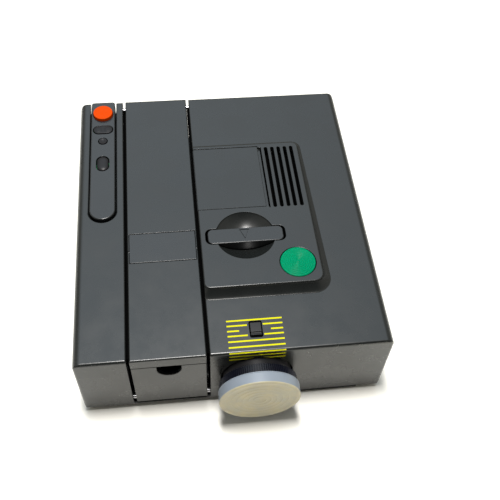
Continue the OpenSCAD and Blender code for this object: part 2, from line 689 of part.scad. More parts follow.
module gate_frame() color(steel) difference() {
    union() {
        box([axis_x - 33, gate_y - 4, 16], [axis_x + 33, gate_y + 5, axis_z + 31]);
        box([axis_x - 33, gate_y - 11, 16], [axis_x - 27, gate_y + 10.4, 19]);
        box([axis_x + 27, gate_y, 16], [axis_x + 33, gate_y + 10.4, 19]);
        box([axis_x - 33, gate_y - 11, z_tray], [axis_x - 27, gate_y - 7, 17]);
        for (x = [axis_x - 33, axis_x + 27]) box([x, gate_y + 8.2, z_tray], [x + 6, gate_y + 10.4, 17]);
    }
    box([axis_x - 34, gate_y - 1.6, axis_z - 26.2], [axis_x + 26.2, gate_y + 1.6, axis_z + 26.2]);
    box([axis_x - 18, gate_y - 5, axis_z - 18], [axis_x + 18, gate_y + 6, axis_z + 18]);
    box([axis_x - 34, gate_y - 1.6, 15], [axis_x - 27, gate_y + 1.6, axis_z - 26]);
    // Light spring bows sit in these two channels.
    for (z = [axis_z - 24, axis_z + 21])
        box([axis_x - 34, gate_y + 1, z], [axis_x + 20, gate_y + 3, z + 3]);
}

module changer_arm() color([0.85, 0.85, 0.82]) {
    along_z(changer_z0, changer_z1) {
        translate([arm_x0, gate_y - 2.45]) square([arm_x1 - arm_x0, 8.2]);
        translate([idler_x, gate_y - 4]) rack2d(changer_module, arm_x0 - idler_x, arm_x1 - idler_x);
    }
    box([arm_x0, gate_y - blade_w / 2, changer_z1 - eps], [arm_x0 + 4, gate_y + blade_w / 2, axis_z + 15]);
}

module changer_idler() color("white") translate([idler_x, idler_y, changer_z0]) difference() {
    linear_extrude(changer_z1 - changer_z0) gear2d(changer_module, changer_teeth);
    translate([0, 0, -1]) cylinder(r = pin_r + run, h = 5);
}

module changer_gear() color("white") translate([drive_x, drive_y, changer_z0]) difference() {
    linear_extrude(changer_z1 - changer_z0) rotate(180 / changer_teeth)
        gear2d(changer_module, changer_teeth);
    translate([0, 0, -1]) cylinder(r = pin_r + run, h = 5);
}

module changer_motor() color(steel) {
    rod_z(z_tray + 7, 42, drive_x, drive_y, 14);
    rod_z(z_tray + 0.4, z_tray + 7 + eps, drive_x, drive_y, pin_r);
    box([drive_x - 17, drive_y - 22, z_tray + 5], [drive_x + 17, drive_y + 12, z_tray + 7 + eps]);
    for (x = [drive_x - 15, drive_x + 11])
        box([x, drive_y - 22, z_tray], [x + 4, drive_y - 17, z_tray + 5 + eps]);
}

module transport_gear() color("white") translate([transport_x, transport_y, transport_z]) difference() {
    linear_extrude(5) gear2d(1, 20);
    translate([0, 0, -1]) cylinder(r = pin_r + run, h = 7);
}

module transport_motor() color(steel) {
    rod_z(transport_z + 8, transport_z + 32, transport_x - 10, transport_y, 14);
    rod_z(transport_z - 3, transport_z + 8 + eps, transport_x, transport_y, pin_r);
    box([transport_x - 26, transport_y - 12, z_tray],
        [transport_x - 22, transport_y + 12, transport_z + 30]);
}

// ---- Light source and cooling ----------------------------------------------

module lamp_house() color(steel) difference() {
    box([axis_x - 33, lamp_y - 38, z_tray], [axis_x + 28, lamp_y + 33, 78]);
    box([axis_x - 31.8, lamp_y - 36.8, z_tray + 1.5], [axis_x + 26.8, lamp_y + 31.8, 79]);
    rod_y(lamp_y - 39, lamp_y - 36, axis_x, axis_z, 20);
    for (i = [0 : 4]) along_x(axis_x + 26, axis_x + 29)
        slot_y(lamp_y - 24 + 12 * i, axis_z - 22, axis_z + 22, 2.5);
}

module lamp_bulb() color(glass) {
    rod_z(32.2, 56, axis_x, lamp_y, 5.5);
    translate([axis_x, lamp_y, 56]) sphere(5.5);
    for (s = [-1, 1]) rod_z(26.5, 32.21, axis_x + 3 * s, lamp_y, 0.8);
}

module lamp_socket() color([0.92, 0.9, 0.85]) difference() {
    box([axis_x - 9, lamp_y - 7, z_tray + 1.5], [axis_x + 9, lamp_y + 7, 32]);
    for (s = [-1, 1]) rod_z(25, 33, axis_x + 3 * s, lamp_y, 0.9);
}

module reflector() color(steel) {
    difference() {
        translate([axis_x, lamp_y, axis_z]) sphere(28);
        translate([axis_x, lamp_y, axis_z]) sphere(26.6);
        box([axis_x - 40, lamp_y - 40, 0], [axis_x + 40, lamp_y + 14, 100]);
    }
    box([axis_x - 5, lamp_y + 27, z_tray + 1.5], [axis_x + 5, lamp_y + 29, axis_z]);
}

module rear_condenser() color(glass) plano_lens(lamp_y - 36.8, 21.5, 34, 4, 8);

module fan_shroud() color(black) {
    difference() {
        along_z(fan_z, fan_z + 18)
            rounded([fan_x - 31, fan_y - 31], [fan_x + 31, fan_y + 31], [4, 4, 4, 4]);
        rod_z(fan_z - 1, fan_z + 19, fan_x, fan_y, 28.5);
    }
    for (a = [45 : 90 : 359]) translate([fan_x, fan_y, fan_z]) rotate(a) box([9, -2, 0], [30, 2, 2]);
    rod_z(fan_z, fan_z + 2, fan_x, fan_y, 11);
    for (x = [fan_x - 27, fan_x + 27], y = [fan_y - 27, fan_y + 27]) rod_z(z_tray, fan_z + eps, x, y, 2.5);
}

module fan_motor() color(steel) {
    rod_z(fan_z + 2, fan_z + 9, fan_x, fan_y, 9);
    rod_z(fan_z + 8.99, fan_z + 15, fan_x, fan_y, 1.5);
}

module fan_impeller() color([0.2, 0.2, 0.22]) translate([fan_x, fan_y, fan_z]) {
    difference() {
        translate([0, 0, 3]) cylinder(r = 11.5, h = 13);
        translate([0, 0, 2]) cylinder(r = 10, h = 8);
        translate([0, 0, 2]) cylinder(r = 1.5 + run, h = 15);
    }
    for (k = [0 : 6]) rotate(k * 360 / 7) translate([11.2, 0, 9.5]) rotate([35, 0, 0])
        translate([0, -7, -0.6]) cube([15.5, 14, 1.2]);
}

module transformer_core() color([0.35, 0.33, 0.32]) difference() {
    box([66, 92, z_tray], [122, 128, z_tray + 48]);
    for (x = [75, 103]) box([x, 91, z_tray + 9], [x + 10, 129, z_tray + 39]);
}

module transformer_coil() color([0.7, 0.42, 0.2]) difference() {
    box([75.5, 86, z_tray + 9.5], [112.5, 134, z_tray + 38.5]);
    box([84.8, 91.8, z_tray + 8], [103.2, 128.2, z_tray + 40]);
    for (x = [74, 113]) box([x - 0.2, 0, 0], [x + 0.2, 200, 80]);
}

module circuit_board() color([0.1, 0.4, 0.2]) {
    box([-130.5, -136, z_tray + 6], [-129, -50, 64]);
    for (i = [0 : 3]) rod_x(-129 - eps, -114, -124 + 18 * i, 34, 6);
    box([-129 - eps, -118, 46], [-121, -98, 56]);
    box([-129 - eps, -88, 46], [-124, -64, 56]);
    for (y = [-136, -60]) box([-130.5, y, z_tray], [-126, y + 6, z_tray + 6 + eps]);
}

module power_inlet() color(black) difference() {
    union() {
        box([88, y_rear - 18, 26], [112, y_rear - 0.4, 42]);
        box([86, y_rear - 0.4, 24], [114, y_rear, 44]);
    }
    box([91, y_rear - 14, 29], [109, y_rear + 1, 39]);
}

// ---- Infrared remote -------------------------------------------------------

module remote_plan(inset) {
    r = remote_w / 2 - inset;
    translate([trough_x, remote_y0 + remote_w / 2]) circle(r);
    rounded([trough_x - r, remote_y0 + remote_w / 2], [trough_x + r, remote_y0 + remote_l - inset],
        [0, 0, 2.5, 2.5]);
}

forward_y = 134;
focus_key_y = 111.5;
timer_y = 95.5;
select_y = 65;

module focus_key_plan(grow) {
    square([8.5, 11 + 2 * grow], center = true);
    for (s = [-1, 1]) translate([s * 4.25, 0]) circle(5.5 + grow);
}

module remote_top() color(charcoal_light) difference() {
    along_z(remote_split, remote_z1) remote_plan(0);
    along_z(remote_split - 1, remote_z1 - remote_wall) remote_plan(remote_wall);
    rod_z(remote_split, remote_z1 + 1, trough_x, forward_y, 10.1);
    along_z(remote_split, remote_z1 + 1) translate([trough_x, focus_key_y]) focus_key_plan(0.3);
    rod_z(remote_split, remote_z1 + 1, trough_x, timer_y, 4.6);
    along_z(remote_split, remote_z1 + 1) slot_y(trough_x, select_y - 9.8, select_y + 9.8, 6.2);
    box([trough_x - 7, remote_y0 + remote_l - 1, remote_split + 1],
        [trough_x + 7, remote_y0 + remote_l + 1, remote_split + 6]);
}

module remote_bottom() color(charcoal) difference() {
    along_z(remote_z0, remote_split - 0.05) remote_plan(0);
    along_z(remote_z0 + remote_wall, remote_split + 1) remote_plan(remote_wall);
}

module remote_board() color([0.1, 0.4, 0.2])
    along_z(remote_split + 1, remote_split + 2.4) intersection() {
        remote_plan(remote_wall + 0.4);
        translate([trough_x - 20, 48]) square([40, remote_y0 + remote_l - 3.2 - 48]);
    }

module remote_cell() color([0.25, 0.35, 0.6])
    rod_y(2, 46, trough_x, remote_z0 + remote_wall + 5.3, 5.2);

module forward_button() color([1, 0.35, 0.02])
    rod_z(remote_z1 - 4, remote_z1 + 3, trough_x, forward_y, 9.8);

module remote_rocker() color(black) {
    along_z(remote_z1 - 4, remote_z1 + 0.8) translate([trough_x, focus_key_y]) focus_key_plan(0);
    rod_y(focus_key_y - 5.6, focus_key_y + 5.6, trough_x, remote_z1 - 4, 1);
}

module timer_button() color(black) rod_z(remote_z1 - 4, remote_z1 + 0.6, trough_x, timer_y, 4.3);

module select_button() color(charcoal) along_z(remote_z1 - 4, remote_z1 + 1)
    slot_y(trough_x, select_y - 9.5, select_y + 9.5, 5.9);

// ---- Feet and fasteners ----------------------------------------------------

module rubber_feet() color(black) for (p = feet) {
    rod_z(0, foot_h, p.x, p.y, 9);
    rod_z(foot_h - eps, z_tray, p.x, p.y, 2.95);
}

module level_foot() color(black) difference() {
    along_z(0, foot_h - 0.4) rounded([level_x - level_l / 2, level_y - 8],
        [level_x + level_l / 2, level_y + 8], [2, 2, 2, 2]);
    rod_z(-1, foot_h, level_x, level_y, 4 + run);
    rod_z(-1, 3, level_x, level_y, 7 + run);
}

module level_screw() color(steel) difference() {
    union() {
        rod_z(0.6, 2.95, level_x, level_y, 7);
        rod_z(0.6, z_tray + 20, level_x, level_y, 4);
    }
    box([level_x - 6, level_y - 0.8, 0], [level_x + 6, level_y + 0.8, 1.8]);
}

module case_screws() color(steel) for (p = concat(left_posts, right_posts)) difference() {
    union() {
        rod_z(z_base + 0.2, z_base + 1.6, p.x, p.y, 3);
        rod_z(z_base + 0.2, z_tray + 14, p.x, p.y, 1.5);
    }
    for (a = [0, 90]) translate([p.x, p.y, 0]) rotate(a) box([-1.6, -0.3, z_base], [1.6, 0.3, z_base + 1]);
}

in_frame() base_tray();
in_frame() left_cover();
in_frame() right_cover();
in_frame() rear_panel();
in_frame() trough_front();
in_frame() trough_rear();
in_frame() hinge_pins();
in_frame() channel_lid();
in_frame() hatch_flap();
in_frame() front_door();
in_frame() lamp_cover();
in_frame() grip_bar();
in_frame() module_frame();
in_frame() condenser_lens();
in_frame() heat_filter();
in_frame() module_guide();
in_frame() power_button();
in_frame() button_spring();
in_frame() power_switch();
in_frame() rocker_bezel();
in_frame() focus_rocker();
in_frame() lens_carrier();
in_frame() lens_barrel();
in_frame() front_lens();
in_frame() rear_lens();
in_frame() zoom_ring();
in_frame() lens_cap();
in_frame() focus_pinion();
in_frame() focus_motor();
in_frame() gate_frame();
in_frame() changer_arm();
in_frame() changer_idler();
in_frame() changer_gear();
in_frame() changer_motor();
in_frame() transport_gear();
in_frame() transport_motor();
in_frame() lamp_house();
in_frame() lamp_bulb();
in_frame() lamp_socket();
in_frame() reflector();
in_frame() rear_condenser();
in_frame() fan_shroud();
in_frame() fan_impeller();
in_frame() fan_motor();
in_frame() transformer_core();
in_frame() transformer_coil();
in_frame() circuit_board();
in_frame() power_inlet();
in_frame() remote_top();
in_frame() remote_bottom();
in_frame() remote_board();
in_frame() remote_cell();
in_frame() forward_button();
in_frame() remote_rocker();
in_frame() timer_button();
in_frame() select_button();
in_frame() rubber_feet();
in_frame() level_foot();
in_frame() level_screw();
in_frame() case_screws();
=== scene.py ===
import json
import math

import bmesh
import bpy
from mathutils import Matrix, Vector


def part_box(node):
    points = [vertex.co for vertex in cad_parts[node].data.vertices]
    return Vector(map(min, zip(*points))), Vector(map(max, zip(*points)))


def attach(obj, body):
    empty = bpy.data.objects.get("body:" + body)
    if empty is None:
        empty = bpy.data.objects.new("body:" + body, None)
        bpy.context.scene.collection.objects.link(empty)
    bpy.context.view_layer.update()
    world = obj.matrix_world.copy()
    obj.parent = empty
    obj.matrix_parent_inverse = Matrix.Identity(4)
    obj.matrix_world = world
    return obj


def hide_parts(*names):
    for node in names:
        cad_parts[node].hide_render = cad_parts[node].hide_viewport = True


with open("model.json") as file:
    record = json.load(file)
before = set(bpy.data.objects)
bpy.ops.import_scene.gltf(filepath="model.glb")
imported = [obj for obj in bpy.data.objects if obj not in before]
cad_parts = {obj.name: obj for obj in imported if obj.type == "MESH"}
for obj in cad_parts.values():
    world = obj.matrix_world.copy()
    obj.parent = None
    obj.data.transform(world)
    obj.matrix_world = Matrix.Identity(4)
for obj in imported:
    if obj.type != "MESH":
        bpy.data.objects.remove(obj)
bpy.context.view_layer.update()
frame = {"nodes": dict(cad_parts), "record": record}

# Pieces are built in millimetres in the row frame, and settle() turns them into metres.
MM = 0.001
FINE = 64          # points round a full circle


# ---- Places read from the CAD nodes -------------------------------------------

def span(node):
    """Lowest and highest corner of a CAD node, in millimetres."""
    lo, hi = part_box(node)
    return lo / MM, hi / MM


LEFT_LO, LEFT_HI = span("left_cover")
RIGHT_LO, RIGHT_HI = span("right_cover")
LID_LO, LID_HI = span("channel_lid")
HATCH_LO, HATCH_HI = span("hatch_flap")
DOOR_LO, DOOR_HI = span("front_door")
LAMP_LO, LAMP_HI = span("lamp_cover")
BAR_LO, BAR_HI = span("grip_bar")
BUTTON_LO, BUTTON_HI = span("power_button")
BEZEL_LO, BEZEL_HI = span("rocker_bezel")
ROCKER_LO, ROCKER_HI = span("focus_rocker")
RING_LO, RING_HI = span("zoom_ring")
CAP_LO, CAP_HI = span("lens_cap")
PANEL_LO, PANEL_HI = span("rear_panel")
REMOTE_LO, REMOTE_HI = span("remote_top")
CASE_LO, _ = span("remote_bottom")
FORWARD_LO, FORWARD_HI = span("forward_button")
FOCUS_LO, FOCUS_HI = span("remote_rocker")
TIMER_LO, TIMER_HI = span("timer_button")
SELECT_LO, SELECT_HI = span("select_button")
TRAY_LO, _ = span("base_tray")
GEAR_LO, GEAR_HI = span("transport_gear")

Y_FRONT, Y_REAR = RIGHT_LO.y, RIGHT_HI.y
MID = (Y_FRONT + Y_REAR) / 2         # y of the body's middle, which places below are measured from
Z_TOP = LEFT_HI.z                    # top of the covers beside the deck
Z_COVER = RIGHT_LO.z                 # lower edge of the covers
WALL = 2.4                           # thickness of the covers' walls
SLOT1_X, SLOT2_X = LEFT_HI.x, RIGHT_LO.x     # the channel's two sides
AXIS_X = (CAP_LO.x + CAP_HI.x) / 2   # the lens axis
AXIS_Z = (CAP_LO.z + CAP_HI.z) / 2
CAP_R = (CAP_HI.x - CAP_LO.x) / 2
RING_R = (RING_HI.x - RING_LO.x) / 2

DECK_Y0, DECK_Y1, DECK_X1 = MID - 93.0, MID + 80.0, 84.0
DECK_Z0 = RIGHT_HI.z                 # at the deck's front edge
DECK_Z1 = Z_TOP + 3.0                # at its rear edge


def deck_z(y):
    """Height of the deck's sloping top."""
    share = (min(max(y, DECK_Y0), DECK_Y1) - DECK_Y0) / (DECK_Y1 - DECK_Y0)
    return DECK_Z0 + (DECK_Z1 - DECK_Z0) * share


def on_deck(lift):
    """Height of a point at y, lifted above the deck's top; for lofts that follow its slope."""
    return lambda y: deck_z(y) + lift


# ---- Mesh building --------------------------------------------------------------

def add_object(name, mesh):
    obj = bpy.data.objects.new(name, mesh)
    bpy.context.scene.collection.objects.link(obj)
    return obj


def add_mesh(name, points, faces):
    """Closed mesh from points, with its faces turned outwards."""
    mesh = bpy.data.meshes.new(name)
    mesh.from_pydata(points, [], faces)
    bm = bmesh.new()
    bm.from_mesh(mesh)
    bmesh.ops.remove_doubles(bm, verts=bm.verts, dist=1e-4)
    bmesh.ops.recalc_face_normals(bm, faces=bm.faces)
    bm.to_mesh(mesh)
    bm.free()
    return add_object(name, mesh)


def loft(name, rings):
    """Solid through loops of equal length, closed by a flat face at each end."""
    n = len(rings[0])
    points = [p for ring in rings for p in ring]
    last = len(points) - n
    faces = [list(range(n)), list(range(last, last + n))]
    for start in range(0, last, n):
        for k in range(n):
            after = (k + 1) % n
            faces.append([start + k, start + after, start + n + after, start + n + k])
    return add_mesh(name, points, faces)


def place(axis, p, t):
    """3-D point from a 2-D point and a place along an axis."""
    return {"x": (t, p[0], p[1]), "y": (p[0], t, p[1]), "z": (p[0], p[1], t)}[axis]


def prism(name, outline, axis, a, b):
    """Outline in (y, z), (x, z) or (x, y), extruded along x, y or z."""
    return loft(name, [[place(axis, p, a) for p in outline], [place(axis, p, b) for p in outline]])


def block(name, lo, hi):
    outline = [(lo[0], lo[1]), (hi[0], lo[1]), (hi[0], hi[1]), (lo[0], hi[1])]
    return prism(name, outline, "z", lo[2], hi[2])


def rod(name, axis, centre, r, a, b, steps=FINE):
    outline = [(centre[0] + r * math.cos(math.tau * k / steps),
                centre[1] + r * math.sin(math.tau * k / steps)) for k in range(steps)]
    return prism(name, outline, axis, a, b)


def lathe(name, centre, axis, profile, steps=FINE * 2):
    """Solid of revolution; profile holds (radius, place along the axis), axis to axis."""
    rings = []
    for r, t in profile:
        rings.append([place(axis, (centre[0] + r * math.cos(math.tau * k / steps),
                                   centre[1] + r * math.sin(math.tau * k / steps)), t)
                      for k in range(steps)])
    return loft(name, rings)


def rounded(x0, y0, x1, y1, radii, steps=6):
    """Rectangle as (x, y, normal x, normal y), its corner radii anticlockwise from the lower left."""
    if not isinstance(radii, (list, tuple)):
        radii = [radii] * 4
    points = []
    corners = [(x0, y0, 1, 1, 180), (x1, y0, -1, 1, 270), (x1, y1, -1, -1, 0), (x0, y1, 1, -1, 90)]
    for (cx, cy, sx, sy, start), r in zip(corners, radii):
        r = max(r, 0.01)
        for k in range(steps + 1):
            a = math.radians(start + 90 * k / steps)
            nx, ny = math.cos(a), math.sin(a)
            points.append((cx + sx * r + r * nx, cy + sy * r + r * ny, nx, ny))
    return points


def slab(name, outline, levels):
    """Loft of an outline with normals: levels hold (outward offset, height or function of y)."""
    rings = []
    for offset, z in levels:
        ring = []
        for x, y, nx, ny in outline:
            px, py = x + nx * offset, y + ny * offset
            ring.append((px, py, z(py) if callable(z) else z))
        rings.append(ring)
    return loft(name, rings)


def round_over(r, steps=4):
    """(inset, drop) pairs of a quarter-round, from the side to the top."""
    return [(r * (1 - math.cos(math.pi / 2 * k / steps)), r * (1 - math.sin(math.pi / 2 * k / steps)))
            for k in range(steps + 1)]


def quarter(steps):
    """Angles of a quarter turn from 0, in radians."""
    return [math.pi / 2 * k / steps for k in range(steps + 1)]


def keep_changes(obj):
    """Makes the modifiers' result the object's own mesh."""
    graph = bpy.context.evaluated_depsgraph_get()
    mesh = bpy.data.meshes.new_from_object(obj.evaluated_get(graph))
    obj.modifiers.clear()
    obj.data = mesh
    return obj


def combine(obj, operation, tools):
    for tool in tools:
        step = obj.modifiers.new("shape", "BOOLEAN")
        step.solver = "EXACT"
        step.operation = operation
        step.object = tool
        keep_changes(obj)
        bpy.data.objects.remove(tool)
    return obj


def cut(obj, *tools):
    return combine(obj, "DIFFERENCE", tools)


def add(obj, *tools):
    return combine(obj, "UNION", tools)


def tidy_faces(obj):
    """Merges the flat fragments that a boolean leaves behind."""
    bm = bmesh.new()
    bm.from_mesh(obj.data)
    bmesh.ops.remove_doubles(bm, verts=bm.verts, dist=0.002)
    bmesh.ops.dissolve_degenerate(bm, dist=0.001, edges=bm.edges)
    bmesh.ops.dissolve_limit(bm, angle_limit=math.radians(0.4), verts=bm.verts, edges=bm.edges)
    bm.to_mesh(obj.data)
    bm.free()
    return obj


def soften(obj, width, segments=2, where=None, angle=32):
    """Rounds the sharp edges whose middle passes the test."""
    bm = bmesh.new()
    bm.from_mesh(obj.data)
    layer = bm.edges.layers.float.get("bevel_weight_edge")
    layer = layer or bm.edges.layers.float.new("bevel_weight_edge")
    for e in bm.edges:
        middle = (e.verts[0].co + e.verts[1].co) / 2
        sharp = len(e.link_faces) == 2 and e.calc_face_angle(0) > math.radians(angle)
        e[layer] = 1.0 if sharp and (where is None or where(middle)) else 0.0
    bm.to_mesh(obj.data)
    bm.free()
    step = obj.modifiers.new("edges", "BEVEL")
    step.limit_method = "WEIGHT"
    step.width = width
    step.segments = segments
    step.use_clamp_overlap = False
    return keep_changes(obj)


def chest(name, lo, hi, radii):
    """Box whose edges have their own radii, keyed by the direction from the middle to the edge."""
    obj = block(name, lo, hi)
    middle = (Vector(lo) + Vector(hi)) / 2
    largest = max(radii.values())
    bm = bmesh.new()
    bm.from_mesh(obj.data)
    layer = bm.edges.layers.float.new("bevel_weight_edge")
    for e in bm.edges:
        way = (e.verts[0].co + e.verts[1].co) / 2 - middle
        key = tuple(0 if abs(c) < 0.01 else int(math.copysign(1, c)) for c in way)
        e[layer] = radii.get(key, 0) / largest
    bm.to_mesh(obj.data)
    bm.free()
    step = obj.modifiers.new("edges", "BEVEL")
    step.limit_method = "WEIGHT"
    step.width = largest
    step.segments = 8
    step.use_clamp_overlap = False
    return keep_changes(obj)


def shade(obj, angle=30):
    """Smooth shading with creases kept, and flat faces kept flat."""
    obj.data.shade_smooth()
    obj.data.set_sharp_from_angle(angle=math.radians(angle))
    step = obj.modifiers.new("normals", "WEIGHTED_NORMAL")
    step.keep_sharp = True
    return obj


# ---- Materials --------------------------------------------------------------------

class Shader:
    """A Principled material built from nodes."""

    def __init__(self, name):
        self.material = bpy.data.materials.new(name)
        self.material.use_nodes = True
        self.tree = self.material.node_tree
        self.bsdf = self.tree.nodes["Principled BSDF"]
        self.where = self.node("ShaderNodeTexCoord").outputs["Object"]

    def node(self, kind, **settings):
        n = self.tree.nodes.new(kind)
        for key, value in settings.items():
            setattr(n, key, value)
        return n

    def link(self, value, socket):
        if isinstance(value, bpy.types.NodeSocket):
            self.tree.links.new(value, socket)
        else:
            socket.default_value = value

    def stretched(self, scale):
        n = self.node("ShaderNodeMapping")
        self.link(self.where, n.inputs["Vector"])
        n.inputs["Scale"].default_value = scale
        return n.outputs["Vector"]

    def noise(self, scale, detail=2.0, rough=0.5, vector=None):
        n = self.node("ShaderNodeTexNoise")
        self.link(vector or self.where, n.inputs["Vector"])
        n.inputs["Scale"].default_value = scale
        n.inputs["Detail"].default_value = detail
        n.inputs["Roughness"].default_value = rough
        return n.outputs["Fac"]

    def cells(self, scale, vector=None):
        n = self.node("ShaderNodeTexVoronoi")
        self.link(vector or self.where, n.inputs["Vector"])
        n.inputs["Scale"].default_value = scale
        return n.outputs["Distance"]

    def span(self, value, a, b, c, d):
        """value between a and b becomes c to d, held at the ends."""
        n = self.node("ShaderNodeMapRange")
        for socket, v in zip(n.inputs, (value, a, b, c, d)):
            self.link(v, socket)
        return n.outputs[0]

    def sum(self, a, b, operation="ADD"):
        n = self.node("ShaderNodeMath", operation=operation)
        self.link(a, n.inputs[0])
        self.link(b, n.inputs[1])
        return n.outputs[0]

    def mix(self, share, a, b, blend="MIX"):
        n = self.node("ShaderNodeMix", data_type="RGBA", blend_type=blend)
        self.link(share, n.inputs[0])
        self.link(a, n.inputs[6])
        self.link(b, n.inputs[7])
        return n.outputs[2]

    def bump(self, height, strength, depth, normal=None):
        n = self.node("ShaderNodeBump")
        n.inputs["Strength"].default_value = strength
        n.inputs["Distance"].default_value = depth
        self.link(height, n.inputs["Height"])
        if normal is not None:
            self.link(normal, n.inputs["Normal"])
        return n.outputs["Normal"]

    def edges(self, radius):
        """1 on worn edges and 0 on flat ground, from how far a rounded normal leans."""
        rounded_normal = self.node("ShaderNodeBevel", samples=4)
        rounded_normal.inputs["Radius"].default_value = radius
        true_normal = self.node("ShaderNodeNewGeometry").outputs["Normal"]
        dot = self.node("ShaderNodeVectorMath", operation="DOT_PRODUCT")
        self.link(rounded_normal.outputs["Normal"], dot.inputs[0])
        self.link(true_normal, dot.inputs[1])
        return self.span(dot.outputs["Value"], 0.995, 0.90, 0.0, 1.0)

    def set(self, **inputs):
        for key, value in inputs.items():
            self.link(value, self.bsdf.inputs[key.replace("_", " ")])
        return self


def rgb(r, g, b):
    return (r, g, b, 1.0)


def scaled(colour, k, most=1.0):
    """Colour times k, with each channel held at or below most."""
    return tuple(min(most, c * k) for c in colour[:3]) + (1.0,)


GRAIN = 2600.0       # texture scale of the moulded grain, about 0.4 mm


def plastic(name, colour, rough, grain=0.25, mottle=0.1, wear=0.25, **more):
    """Moulded plastic: patchy tone, fine grain, rubbed edges and uneven sheen."""
    s = Shader(name)
    patches = s.noise(14.0, 3.0)
    specks = s.noise(700.0, 2.0, 0.6)
    tone = s.mix(s.span(patches, 0.3, 0.7, 0.0, 1.0), scaled(colour, 1 - mottle), scaled(colour, 1 + mottle))
    tone = s.mix(s.span(specks, 0.35, 0.75, 0.0, 0.12), tone, scaled(colour, 1.8))
    rub = s.sum(s.edges(0.0006), s.span(s.noise(90.0, 4.0), 0.45, 0.7, 0.0, wear), "MULTIPLY")
    tone = s.mix(rub, tone, scaled(colour, 2.4))
    sheen = s.span(s.noise(40.0, 4.0, 0.6), 0.3, 0.7, rough - 0.05, rough + 0.06)
    smear = s.span(s.noise(7.0, 2.0, vector=s.stretched((1.0, 2.2, 1.0))), 0.55, 0.8, 0.0, -0.06)
    normal = s.bump(s.noise(GRAIN, 2.0, 0.6), grain, 0.00006)
    s.set(Base_Color=tone, Roughness=s.sum(sheen, smear), Normal=normal, IOR=1.5, **more)
    return s.material


def metal(name, colour, rough, brushed=(1.0, 1.0, 1.0)):
    """Metal with brush lines, faint stains and uneven polish."""
    s = Shader(name)
    lines = s.noise(900.0, 3.0, 0.6, vector=s.stretched(brushed))
    stain = s.noise(45.0, 4.0)
    tone = s.mix(s.span(stain, 0.35, 0.75, 0.0, 0.5), colour, scaled(colour, 0.6))
    sheen = s.sum(s.span(lines, 0.3, 0.7, rough - 0.07, rough + 0.08), s.span(stain, 0.5, 0.8, 0.0, 0.12))
    s.set(Base_Color=tone, Metallic=1.0, Roughness=sheen, Normal=s.bump(lines, 0.2, 0.00003))
    return s.material


def glass(name, colour):
    """Clear glass with a thin film of dust."""
    s = Shader(name)
    dust = s.noise(120.0, 5.0, 0.65)
    s.set(Base_Color=s.mix(s.span(dust, 0.5, 0.8, 0.0, 0.2), colour, scaled(colour, 0.85)),
          Roughness=s.span(dust, 0.4, 0.8, 0.02, 0.16), Transmission_Weight=1.0, IOR=1.5,
          Normal=s.bump(dust, 0.05, 0.00002))
    return s.material


def laminated(name, colour):
    """Stack of thin iron sheets under varnish."""
    s = Shader(name)
    sheets = s.node("ShaderNodeTexWave", bands_direction="Y")
    s.link(s.where, sheets.inputs["Vector"])
    sheets.inputs["Scale"].default_value = 320.0
    sheets.inputs["Distortion"].default_value = 0.6
    lines = sheets.outputs["Fac"]
    rust = s.span(s.noise(60.0, 5.0), 0.5, 0.72, 0.0, 0.6)
    iron = s.mix(lines, scaled(colour, 0.6), scaled(colour, 1.5))
    s.set(Base_Color=s.mix(rust, iron, rgb(0.12, 0.05, 0.025)), Metallic=0.6,
          Roughness=s.span(lines, 0.0, 1.0, 0.4, 0.6), Normal=s.bump(lines, 0.5, 0.0001))
    return s.material


def wound(name, colour):
    """Coil of enamelled wire."""
    s = Shader(name)
    turns = s.node("ShaderNodeTexWave", bands_direction="Z")
    s.link(s.where, turns.inputs["Vector"])
    turns.inputs["Scale"].default_value = 260.0
    turns.inputs["Distortion"].default_value = 1.2
    turns.inputs["Detail Scale"].default_value = 0.3
    lines = turns.outputs["Fac"]
    s.set(Base_Color=s.mix(lines, scaled(colour, 0.35), scaled(colour, 1.2)), Metallic=0.7,
          Roughness=s.span(s.noise(80.0, 3.0), 0.3, 0.7, 0.25, 0.45), Normal=s.bump(lines, 0.6, 0.0002))
    return s.material


def board(name, colour):
    """Circuit board under solder mask, with faint tracks."""
    s = Shader(name)
    tracks = s.span(s.cells(180.0, s.stretched((1.0, 1.0, 2.0))), 0.35, 0.4, 0.0, 0.7)
    s.set(Base_Color=s.mix(tracks, colour, scaled(colour, 1.9)),
          Roughness=s.span(s.noise(70.0, 3.0), 0.3, 0.7, 0.28, 0.42), Normal=s.bump(tracks, 0.3, 0.00005))
    return s.material


